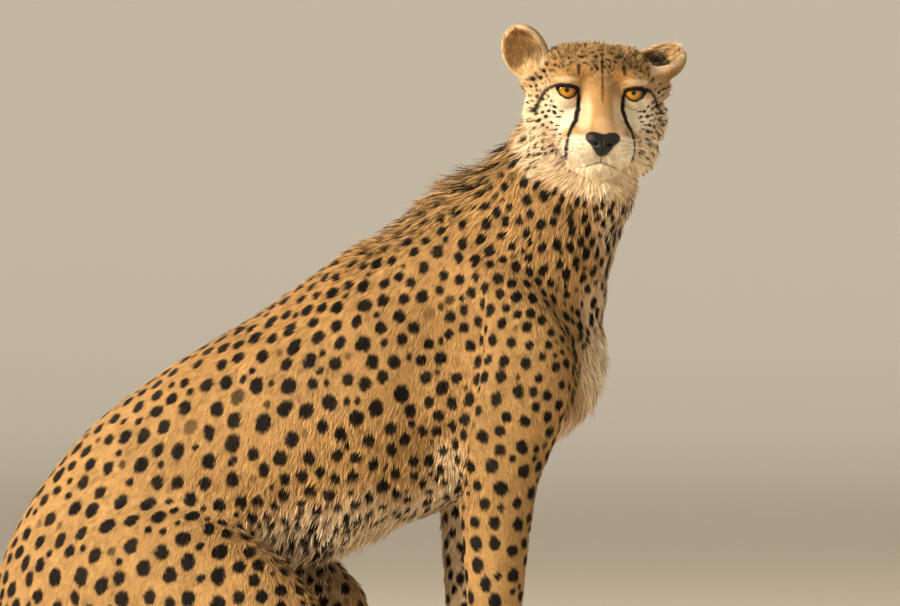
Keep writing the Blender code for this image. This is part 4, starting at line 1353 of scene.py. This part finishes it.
def brightened(nodes, links, colour, factor):
    """A colour times a factor."""
    node = nodes.new("ShaderNodeVectorMath")
    node.operation = "SCALE"
    links.new(colour, node.inputs[0])
    links.new(factor, node.inputs["Scale"])
    return node.outputs["Vector"]


def raised(shader, nodes, links, height, strength, distance):
    """Raises a surface by a pattern; distance in metres."""
    bump = nodes.new("ShaderNodeBump")
    bump.inputs["Strength"].default_value = strength
    bump.inputs["Distance"].default_value = distance
    links.new(height, bump.inputs["Height"])
    links.new(bump.outputs["Normal"], shader.inputs["Normal"])


def painted(shader, nodes, links, grain, low, high):
    """Gives a shader the colour of its mesh, from low to high of its brightness by a grain."""
    colour = nodes.new("ShaderNodeVertexColor")
    colour.layer_name = COLOUR_LAYER
    tone = spread_over(nodes, links, grain.outputs["Fac"], low, high)
    shade = brightened(nodes, links, colour.outputs["Color"], tone.outputs["Result"])
    links.new(shade, shader.inputs["Base Color"])


def fur_material(scene):
    """Hair that carries its own colour, with a dry sheen."""
    if "fur" in bpy.data.materials:
        return bpy.data.materials["fur"]
    material, shader, nodes, links = new_material("fur", scene.cheetah_coat.roughness, 0.10)
    painted(shader, nodes, links, pattern(nodes, "ShaderNodeTexNoise", 900), 0.82, 1.18)
    shader.inputs["Sheen Weight"].default_value = 0.03
    shader.inputs["Sheen Roughness"].default_value = 0.5
    return material


def skin_material():
    """The ground of the coat: the same marks, with the grain of short hair and a little painted shade."""
    material, shader, nodes, links = new_material("skin", 0.8, 0.2)
    grain = pattern(nodes, "ShaderNodeTexNoise", 700, detail=3)
    # the grain darkens more than it lightens: partly random grain, partly painted shade of the skin seen
    # between the tufts
    painted(shader, nodes, links, grain, 0.66, 1.06)
    raised(shader, nodes, links, grain.outputs["Fac"], 0.5, 0.8 * MM)
    return material


def eye_material(scene):
    """Pupil, iris with its fibres, dark rim and dark white of the eye, by the turn from the gaze, with
    painted shade under the upper lid.
    """
    settings = scene.cheetah_eyes
    material, shader, nodes, links = new_material("eye", 0.12, 0.15)
    place_on_eye = nodes.new("ShaderNodeTexCoord")
    parts = nodes.new("ShaderNodeSeparateXYZ")
    links.new(place_on_eye.outputs["Object"], parts.inputs["Vector"])

    def maths(operation, first, second=None, value=None):
        """The result of an operation on one socket and another socket or a value."""
        node = nodes.new("ShaderNodeMath")
        node.operation = operation
        links.new(first, node.inputs[0])
        if second is not None:
            links.new(second, node.inputs[1])
        elif value is not None:
            node.inputs[1].default_value = value
        return node.outputs[0]

    radius = maths("SQRT", maths(
        "ADD", maths("POWER", parts.outputs["X"], value=2), maths("POWER", parts.outputs["Z"], value=2)))
    turn = maths("ARCTAN2", parts.outputs["Z"], parts.outputs["X"])
    spokes = nodes.new("ShaderNodeCombineXYZ")
    links.new(maths("MULTIPLY", turn, value=7.0), spokes.inputs["X"])
    links.new(maths("MULTIPLY", radius, value=130.0), spokes.inputs["Y"])
    fibres = pattern(nodes, "ShaderNodeTexNoise", 2.2, detail=4)
    links.new(spokes.outputs["Vector"], fibres.inputs["Vector"])
    wander = maths("MULTIPLY", maths("SUBTRACT", fibres.outputs["Fac"], value=0.5), value=0.0016)
    share = maths("DIVIDE", maths("ADD", radius, wander), value=settings.iris_radius * 1.25)
    ramp = nodes.new("ShaderNodeValToRGB")
    links.new(share, ramp.inputs["Fac"])
    # the edge of the iris lies at 0.8 of the ramp
    pupil = settings.pupil_radius / settings.iris_radius * 0.8
    pupil_black, iris_rim, eye_white = (0.004, 0.003, 0.002), (0.02, 0.010, 0.005), (0.03, 0.018, 0.012)
    stops = (
        (0.0, pupil_black), (pupil * 0.86, pupil_black),
        (pupil * 1.12, tuple(c * 0.42 for c in settings.iris_inner)),
        (pupil * 1.12 + 0.14, tuple(settings.iris_inner)), (0.60, tuple(settings.iris_outer)),
        (0.72, tuple(c * 0.55 for c in settings.iris_outer)), (0.80, iris_rim), (0.92, eye_white),
    )
    while len(ramp.color_ramp.elements) < len(stops):
        ramp.color_ramp.elements.new(0.5)
    for stop, (position, colour) in zip(ramp.color_ramp.elements, stops):
        stop.position = position
        stop.color = (*colour, 1)
    # painted shade of the upper lid: the eye darkens towards it
    painted_lid_shade = spread_over(nodes, links, parts.outputs["Z"], 1.0, 0.3)
    painted_lid_shade.inputs["From Min"].default_value = -0.5 * MM
    painted_lid_shade.inputs["From Max"].default_value = 3.5 * MM
    shade = brightened(nodes, links, ramp.outputs["Color"], painted_lid_shade.outputs["Result"])
    links.new(shade, shader.inputs["Base Color"])
    shader.inputs["Coat Weight"].default_value = 0.6
    shader.inputs["Coat Roughness"].default_value = 0.03
    return material


def nose_material(scene):
    """Moist pebbled nose skin."""
    colours = scene.cheetah_colours
    material, shader, nodes, links = new_material("nose_skin", 0.36, 0.3)
    pebbles = pattern(nodes, "ShaderNodeTexVoronoi", 1100)
    tone = spread_over(nodes, links, pebbles.outputs["Distance"], 1.5, 0.7)
    colour = nodes.new("ShaderNodeVectorMath")
    colour.operation = "SCALE"
    colour.inputs[0].default_value = tuple(colours.nose)
    links.new(tone.outputs["Result"], colour.inputs["Scale"])
    links.new(colour.outputs["Vector"], shader.inputs["Base Color"])
    raised(shader, nodes, links, pebbles.outputs["Distance"], 0.35, 0.4 * MM)
    return material


def horn_material(scene):
    """Dark horn with fine growth lines."""
    colours = scene.cheetah_colours
    material, shader, nodes, links = new_material("horn", 0.38)
    lines = pattern(nodes, "ShaderNodeTexNoise", 420, detail=5)
    ramp = nodes.new("ShaderNodeValToRGB")
    dark, fair = ramp.color_ramp.elements
    dark.position, fair.position = 0.35, 0.75
    dark.color = (*(c * 0.6 for c in colours.horn), 1)
    fair.color = (*(c * 2.4 for c in colours.horn), 1)
    links.new(lines.outputs["Fac"], ramp.inputs["Fac"])
    links.new(ramp.outputs["Color"], shader.inputs["Base Color"])
    raised(shader, nodes, links, lines.outputs["Fac"], 0.3, 0.3 * MM)
    return material


def whisker_material():
    """Pale hair with a slow change of tone."""
    material, shader, nodes, links = new_material("whisker", 0.45)
    lines = pattern(nodes, "ShaderNodeTexNoise", 60)
    ramp = nodes.new("ShaderNodeValToRGB")
    ramp.color_ramp.elements[0].color = (0.62, 0.56, 0.48, 1)
    ramp.color_ramp.elements[1].color = (0.85, 0.82, 0.76, 1)
    links.new(lines.outputs["Fac"], ramp.inputs["Fac"])
    links.new(ramp.outputs["Color"], shader.inputs["Base Color"])
    return material


# ---------------------------------------------------------------- small pieces

def nose_depth(points):
    """How far each point lies outside the nose pad, with its nostrils and its middle groove."""
    pad = blended(points, NOSE_FORMS, NOSE_SOFTNESS)
    for centre, radii, lean, splay in both_sides(NOSTRILS):
        local = turned_local(points, centre, form_turn(lean, splay))
        pad = cut(pad, outside(local, radii), 0.06)
    groove = smooth(-4.7, -5.4, points[:, 1]) * np.exp(-(points[:, 2] / 0.07) ** 2)
    return pad + 0.10 * groove


def eyeball(name, settings):
    """An eyeball with its clear front bulging a little, looking along its own -Y."""
    sign = SIDES[name]
    bm = bmesh.new()
    bmesh.ops.create_uvsphere(bm, u_segments=64, v_segments=40, radius=eye_radius() * CM)
    bmesh.ops.rotate(bm, verts=bm.verts, cent=(0, 0, 0), matrix=Matrix.Rotation(math.pi / 2, 3, "X"))
    for vert in bm.verts:
        turn = math.acos(max(-1, min(1, -vert.co.normalized().y)))
        vert.co *= 1 + settings.bulge * float(smooth(0.75, 0.2, turn))
    mesh = bpy.data.meshes.new(f"eye_ball_{name}")
    bm.to_mesh(mesh)
    bm.free()
    mesh.shade_smooth()
    ball = linked(mesh.name, mesh)
    gaze = Matrix.Rotation(settings.gaze_side, 4, "Z") @ Matrix.Rotation(-settings.gaze_up, 4, "X")
    where = HEAD @ Matrix.Translation(place(EYE_PLACE[0], EYE_PLACE[1], sign * EYE_PLACE[2]))
    ball.matrix_world = where @ gaze
    return ball


def stage_bowl(settings):
    """A round floor whose far edge bends up into a backdrop without a line between them."""
    rows = [(ring, 0.0) for ring in FLOOR_RINGS]
    for turn in np.linspace(0, math.pi / 2, 14):
        rows.append((FLOOR_FLAT + FLOOR_BEND * math.sin(turn), FLOOR_BEND * (1 - math.cos(turn))))
    rows.append((FLOOR_FLAT + FLOOR_BEND, 3 * FLOOR_BEND))
    bm = bmesh.new()
    bmesh.ops.create_circle(bm, cap_ends=True, segments=72, radius=1.5)
    for far, high in rows:
        rim = [edge for edge in bm.edges if edge.is_boundary]
        made = bmesh.ops.extrude_edge_only(bm, edges=rim)["geom"]
        for vert in made:
            if isinstance(vert, bmesh.types.BMVert):
                vert.co = (*(vert.co.xy.normalized() * far), high)
    mesh = bpy.data.meshes.new("floor")
    bm.to_mesh(mesh)
    bm.free()
    bowl = linked("floor", mesh)
    points = points_of(mesh)
    far = smooth(6.0, 13.0, np.hypot(points[:, 0], points[:, 1]))[:, None]
    near_colour = np.array((*settings.floor, 0.0))
    far_colour = np.array((*settings.backdrop, settings.backdrop_glow))
    write_colour(mesh, near_colour + far * (far_colour - near_colour))
    mesh.shade_smooth()
    return bowl


def whisker_points(sign, row, step, rng):
    """A whisker's middle line in the head's frame, from the pad out and back."""
    rows = WHISKER_ROWS
    side = sign * (rows["start"] + rows["step"] * step * 1.2)
    up = rows["top"] - rows["apart"] * row
    length = rng.uniform(4.5, 7.5)
    away = np.array((0.30 - 0.12 * step, 0.10 - 0.16 * row + rng.normal(0, 0.06), sign * 1.0))
    away /= np.linalg.norm(away)
    t = np.linspace(0, 1, WHISKER_STEPS + 1)[:, None]
    start = np.array((7.6 - 0.45 * step, up, side))
    bend = np.array((-0.34, -0.16, 0.0))
    return start + length * (away * t + bend * t**2)


def whisker_mesh(name, settings):
    """Long pale hairs on the whisker pads, each a thin tapered tube."""
    rng = np.random.default_rng(5)
    points, faces = [], []
    around, last = WHISKER_CORNERS, WHISKER_STEPS
    turn = np.arange(around) * 2 * math.pi / around
    hairs = itertools.product(SIDES.values(), range(WHISKER_ROWS["rows"]), range(WHISKER_ROWS["hairs"]))
    for sign, row, step in hairs:
        line = world_points(HEAD, whisker_points(sign, row, step, rng))
        base = sum(map(len, points))
        for i, centre in enumerate(line):
            ahead = unit((line[min(i + 1, last)] - line[max(i - 1, 0)])[None])[0]
            across = unit(np.cross(ahead, (0.0, 0.0, 1.0))[None])[0]
            other = np.cross(ahead, across)
            radius = settings.whisker_width / 2 * (1 - 0.9 * i / last)
            points.append(centre + radius * (
                np.cos(turn)[:, None] * across + np.sin(turn)[:, None] * other))
        for i in range(last):
            a, b = base + i * around, base + (i + 1) * around
            for k in range(around):
                after = (k + 1) % around
                faces.append((a + k, a + after, b + after, b + k))
    made = mesh_object(name, np.concatenate(points), np.array(faces))
    made.data.shade_smooth()
    return made


# ---------------------------------------------------------------- settings

def colour_property(name, description, colour):
    """A setting for a colour."""
    return bpy.props.FloatVectorProperty(
        name=name, description=description, default=colour, size=3, min=0, max=1, subtype="COLOR")


def length_property(name, description, length, least=0.0):
    """A setting for a length in metres."""
    return bpy.props.FloatProperty(
        name=name, description=description, default=length, min=least, unit="LENGTH", subtype="DISTANCE")


def angle_property(name, description, degrees):
    """A setting for an angle."""
    return bpy.props.FloatProperty(
        name=name, description=description, default=math.radians(degrees),
        unit="ROTATION", subtype="ANGLE")


def power_property(name, description, watts):
    """A setting for the power of a light."""
    return bpy.props.FloatProperty(
        name=name, description=description, default=watts, min=0, unit="POWER")


class SkinSettings(bpy.types.PropertyGroup):
    body_step: length_property("Body step", "Size of the faces of the body's skin", 3.8 * MM, 2 * MM)
    head_step: length_property("Head step", "Size of the faces of the head's skin", 1.5 * MM, 1 * MM)
    body_smoothing: bpy.props.IntProperty(
        name="Smoothing", description="Rounds of smoothing over the facets of the solids", default=24, min=0)
    spot_seed: bpy.props.IntProperty(
        name="Spot seed", description="Chooses one pattern of spots", default=7)


class CoatSettings(bpy.types.PropertyGroup):
    seed: bpy.props.IntProperty(name="Seed", description="Chooses one growth of the coat", default=3)
    cover: bpy.props.FloatProperty(
        name="Cover", description="How many times the tufts cover the skin", default=1.2, min=0.1)
    most_triangles: bpy.props.IntProperty(
        name="Most triangles", description="The most triangles in one piece of the coat",
        default=185000, min=1)
    # painted shade at the hair's root, where the tufts lying over it would shade it
    painted_root_shade: bpy.props.FloatProperty(
        name="Root shade", description="Brightness of the hair at its root", default=0.73, min=0, max=1)
    roughness: bpy.props.FloatProperty(
        name="Roughness", description="Roughness of the hair", default=0.62, min=0, max=1, subtype="FACTOR")
    bake_patch: bpy.props.FloatProperty(
        name="Bake patch", description="Width of each tuft's patch on the bake map, as a share of it",
        default=0.003, min=0)
    whisker_width: length_property("Whisker width", "Thickness of a whisker at its root", 0.34 * MM)


class ColourSettings(bpy.types.PropertyGroup):
    tawny: colour_property("Tawny", "Ground colour of the coat", (0.47, 0.275, 0.102))
    ochre: colour_property("Ochre", "Deeper gold of the back, brows and nose bridge", (0.43, 0.220, 0.062))
    sand: colour_property("Sand", "Greyer gold of the forehead", (0.33, 0.200, 0.078))
    cream: colour_property("Cream", "Pale hair of the belly, cheeks and inner legs", (0.86, 0.66, 0.43))
    white: colour_property("White", "Palest hair of the chin, lips and breast", (1.0, 0.88, 0.68))
    black: colour_property("Black", "Spots, tear lines and rims of the eyes", (0.005, 0.0035, 0.0025))
    brown: colour_property("Brown", "Whisker spots", (0.20, 0.10, 0.045))
    ear_inner: colour_property("Inner ear", "Inside of the ears", (0.58, 0.36, 0.15))
    nose: colour_property("Nose", "Nose skin", (0.009, 0.0075, 0.007))
    horn: colour_property("Horn", "Claws", (0.05, 0.04, 0.034))


class EyeSettings(bpy.types.PropertyGroup):
    iris_radius: length_property(
        "Iris radius", "From the middle of the pupil to the edge of the iris", 9.2 * MM)
    pupil_radius: length_property("Pupil radius", "Radius of the round pupil", 2.1 * MM)
    bulge: bpy.props.FloatProperty(
        name="Bulge", description="How far the clear front stands out, as a share of the radius",
        default=0.035)
    gaze_side: angle_property("Gaze aside", "How far the eyes look to the animal's left", -4.5)
    gaze_up: angle_property("Gaze up", "How far the eyes look up", 0.0)
    iris_inner: colour_property("Inner iris", "Amber round the pupil", (0.50, 0.24, 0.005))
    iris_outer: colour_property("Outer iris", "Amber at the edge of the iris", (0.31, 0.125, 0.003))


class StageSettings(bpy.types.PropertyGroup):
    distance: length_property("Camera distance", "From the camera to the animal", 8.0)
    azimuth: angle_property("Camera azimuth", "Round the animal, 0 from its front", -78.0)
    elevation: angle_property("Camera elevation", "Above the level of its target", 1.0)
    width: length_property("Width in view", "Width that the view takes in at the animal", 0.954)
    target_height: length_property("Target height", "Height of the middle of the view", 0.5713)
    target_back: length_property("Target back", "From the forefeet to the middle of the view", 0.0424)
    floor: colour_property("Floor", "Pale floor round the animal", (0.64, 0.585, 0.50))
    backdrop: colour_property("Backdrop", "Pale backdrop", (0.90, 0.86, 0.79))
    backdrop_glow: bpy.props.FloatProperty(
        name="Backdrop's glow", description="Brightness that the backdrop adds of its own",
        default=0.05, min=0)
    sky: colour_property("Surroundings", "Soft light from all sides", (0.95, 0.90, 0.81))
    sky_strength: bpy.props.FloatProperty(
        name="Surroundings' strength", description="Brightness of the soft light from all sides",
        default=0.52, min=0)
    key: power_property("Key light", "Power of the warm main light", 500)
    fill: power_property("Fill light", "Power of the fill light", 25)
    rim: power_property("Rim light", "Power of the light from behind", 70)


# ---------------------------------------------------------------- operators

class CHEETAH_OT_skin(bpy.types.Operator):
    """One skin over body and head, drawn in by the depth of the coat and painted with the marks"""
    bl_idname = "cheetah.skin"
    bl_label = "Skin"

    def execute(self, context):
        scene = context.scene
        skin = union(body_skin(scene.cheetah_skin), head_skin(scene.cheetah_skin), "skin")
        skin.data.shade_smooth()
        arrays = Skin(skin)
        marks = Marks(arrays, scene.cheetah_skin)
        shade, _ = coat_colours(arrays.points, arrays.normals, marks, scene.cheetah_colours)
        write_colour(skin.data, shade)
        workshop["skin"], workshop["marks"] = arrays, marks
        skin.data.materials.clear()
        skin.data.materials.append(skin_material())
        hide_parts(*COAT_OF_NODE)
        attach(skin, "root")
        print(f"skin: {len(arrays.triangles)} triangles, {len(marks.rows)} spots")
        return {"FINISHED"}


class CHEETAH_OT_head_coat(bpy.types.Operator):
    """Short hair of the face and ears, longer hair of the ruff"""
    bl_idname = "cheetah.head_coat"
    bl_label = "Head coat"

    def execute(self, context):
        middle = np.array(HEAD.translation)
        across = np.array(HEAD.to_3x3() @ Vector((1, 0, 0)))
        coat_pieces(context.scene, "head", (
            ("head_right", lambda centre: (centre - middle) @ across < 0),
            ("head_left", lambda centre: (centre - middle) @ across >= 0),
        ))
        return {"FINISHED"}


class CHEETAH_OT_neck_coat(bpy.types.Operator):
    """Mane, neck and throat"""
    bl_idname = "cheetah.neck_coat"
    bl_label = "Neck coat"

    def execute(self, context):
        coat_pieces(context.scene, "neck", (("neck", lambda centre: centre[:, 2] > -1),))
        return {"FINISHED"}


class CHEETAH_OT_trunk_coat(bpy.types.Operator):
    """Back, flanks, chest and belly"""
    bl_idname = "cheetah.trunk_coat"
    bl_label = "Trunk coat"

    def execute(self, context):
        middle = BODY.translation.x
        parting = BODY.translation.y + CHEST_LENGTH * CM
        coat_pieces(context.scene, "trunk", (
            ("chest_right", lambda c: (c[:, 0] < middle) & (c[:, 1] < parting)),
            ("chest_left", lambda c: (c[:, 0] >= middle) & (c[:, 1] < parting)),
            ("loin_right", lambda c: (c[:, 0] < middle) & (c[:, 1] >= parting)),
            ("loin_left", lambda c: (c[:, 0] >= middle) & (c[:, 1] >= parting)),
        ))
        return {"FINISHED"}


class CHEETAH_OT_leg_coat(bpy.types.Operator):
    """Forelegs, haunches and hind legs with their paws"""
    bl_idname = "cheetah.leg_coat"
    bl_label = "Leg coat"

    def execute(self, context):
        middle = BODY.translation.x
        for part in ("foreleg", "haunch", "hindleg"):
            coat_pieces(context.scene, part, (
                (f"{part}_right", lambda centre: centre[:, 0] < middle),
                (f"{part}_left", lambda centre: centre[:, 0] >= middle),
            ))
        return {"FINISHED"}


class CHEETAH_OT_tail_coat(bpy.types.Operator):
    """The tail with its rings and pale tip"""
    bl_idname = "cheetah.tail_coat"
    bl_label = "Tail coat"

    def execute(self, context):
        coat_pieces(context.scene, "tail", (("tail", lambda centre: centre[:, 2] > -1),))
        return {"FINISHED"}


class CHEETAH_OT_eyes(bpy.types.Operator):
    """Two amber eyes with round pupils"""
    bl_idname = "cheetah.eyes"
    bl_label = "Eyes"

    def execute(self, context):
        for name in SIDES:
            ball = eyeball(name, context.scene.cheetah_eyes)
            ball.data.materials.append(eye_material(context.scene))
            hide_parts(f"eye_{name}")
            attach(ball, "root")
        return {"FINISHED"}


class CHEETAH_OT_nose(bpy.types.Operator):
    """The nose pad with its nostrils"""
    bl_idname = "cheetah.nose"
    bl_label = "Nose"

    def execute(self, context):
        points, faces = field_mesh(NOSE_STEP, *NOSE_BOX, nose_depth)
        points = settled(points, nose_depth)
        nose = mesh_object("nose_pad", world_points(HEAD, points), faces)
        nose.data.shade_smooth()
        nose.data.materials.append(nose_material(context.scene))
        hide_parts("nose")
        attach(nose, "root")
        return {"FINISHED"}


class CHEETAH_OT_claws(bpy.types.Operator):
    """Rounded claws on the places of the solid ones"""
    bl_idname = "cheetah.claws"
    bl_label = "Claws"

    def execute(self, context):
        material = horn_material(context.scene)
        for name, node in sorted(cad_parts.items()):
            if "claw" not in name:
                continue
            claw = linked(f"horn_{name}", node.data.copy())
            bm = bmesh.new()
            bm.from_mesh(claw.data)
            bmesh.ops.remove_doubles(bm, verts=bm.verts, dist=1e-6)
            bmesh.ops.join_triangles(
                bm, faces=bm.faces, angle_face_threshold=0.7, angle_shape_threshold=3.1)
            bm.to_mesh(claw.data)
            bm.free()
            rounder = claw.modifiers.new("rounder", "SUBSURF")
            rounder.levels = rounder.render_levels = 2
            applied(claw)
            claw.data.shade_smooth()
            claw.data.materials.clear()
            claw.data.materials.append(material)
            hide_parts(name)
            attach(claw, "root")
        return {"FINISHED"}


class CHEETAH_OT_whiskers(bpy.types.Operator):
    """Fine pale whiskers"""
    bl_idname = "cheetah.whiskers"
    bl_label = "Whiskers"

    def execute(self, context):
        whiskers = whisker_mesh("whiskers", context.scene.cheetah_coat)
        whiskers.data.materials.append(whisker_material())
        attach(whiskers, "root")
        return {"FINISHED"}


class CHEETAH_OT_stage(bpy.types.Operator):
    """Pale floor, soft lights and the camera"""
    bl_idname = "cheetah.stage"
    bl_label = "Stage"

    def execute(self, context):
        scene = context.scene
        settings = scene.cheetah_stage
        floor = stage_bowl(settings)
        material, shader, nodes, links = new_material("floor", 0.9, 0.2)
        colour = nodes.new("ShaderNodeVertexColor")
        colour.layer_name = COLOUR_LAYER
        links.new(colour.outputs["Color"], shader.inputs["Base Color"])
        links.new(colour.outputs["Color"], shader.inputs["Emission Color"])
        links.new(colour.outputs["Alpha"], shader.inputs["Emission Strength"])
        floor.data.materials.append(material)

        world = bpy.data.worlds.new("surroundings")
        world.use_nodes = True
        background = world.node_tree.nodes["Background"]
        background.inputs["Color"].default_value = (*settings.sky, 1)
        background.inputs["Strength"].default_value = settings.sky_strength
        scene.world = world
        scene.view_settings.view_transform = "Standard"

        turn, rise = settings.azimuth, settings.elevation
        back = Vector((math.sin(turn) * math.cos(rise), -math.cos(turn) * math.cos(rise), math.sin(rise)))
        right = Vector((math.cos(turn), math.sin(turn), 0))
        target = BODY.translation + Vector((0, 0, settings.target_height)) - right * settings.target_back
        camera = linked("camera", bpy.data.cameras.new("camera"))
        camera.location = target + back * settings.distance
        camera.rotation_euler = (-back).to_track_quat("-Z", "Y").to_euler()
        camera.data.lens = camera.data.sensor_width * settings.distance / settings.width
        camera.data.clip_end = 100
        scene.camera = camera

        for name, (size, aside, near, up, colour) in LIGHTS.items():
            light = bpy.data.lights.new(name, "AREA")
            light.energy, light.size, light.color = getattr(settings, name), size, colour
            lamp = linked(name, light)
            lamp.location = target + right * aside + back * near + Vector((0, 0, up))
            lamp.rotation_euler = (target - lamp.location).to_track_quat("-Z", "Y").to_euler()
        return {"FINISHED"}


PIECES = (
    CHEETAH_OT_stage, CHEETAH_OT_skin, CHEETAH_OT_head_coat, CHEETAH_OT_neck_coat,
    CHEETAH_OT_trunk_coat, CHEETAH_OT_leg_coat, CHEETAH_OT_tail_coat, CHEETAH_OT_eyes,
    CHEETAH_OT_nose, CHEETAH_OT_claws, CHEETAH_OT_whiskers,
)
SETTINGS = {
    "cheetah_skin": SkinSettings, "cheetah_coat": CoatSettings, "cheetah_colours": ColourSettings,
    "cheetah_eyes": EyeSettings, "cheetah_stage": StageSettings,
}


class CHEETAH_PT_panel(bpy.types.Panel):
    """Lists the pieces of the cheetah and their settings"""
    bl_idname = "CHEETAH_PT_panel"
    bl_label = "Cheetah"
    bl_space_type = "VIEW_3D"
    bl_region_type = "UI"
    bl_category = "Cheetah"

    def draw(self, context):
        for piece in PIECES:
            self.layout.operator(piece.bl_idname)
        for name in SETTINGS:
            box = self.layout.box()
            settings = getattr(context.scene, name)
            for field in settings.__annotations__:
                box.prop(settings, field)


def register():
    for group in SETTINGS.values():
        bpy.utils.register_class(group)
    for name, group in SETTINGS.items():
        setattr(bpy.types.Scene, name, bpy.props.PointerProperty(type=group))
    for piece in (*PIECES, CHEETAH_PT_panel):
        bpy.utils.register_class(piece)


def unregister():
    for piece in reversed((*PIECES, CHEETAH_PT_panel)):
        bpy.utils.unregister_class(piece)
    for name, group in reversed(SETTINGS.items()):
        delattr(bpy.types.Scene, name)
        bpy.utils.unregister_class(group)


def main():
    register()
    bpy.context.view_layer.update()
    for piece in PIECES:
        group, operator = piece.bl_idname.split(".")
        getattr(getattr(bpy.ops, group), operator)()


if __name__ == "__main__":
    main()
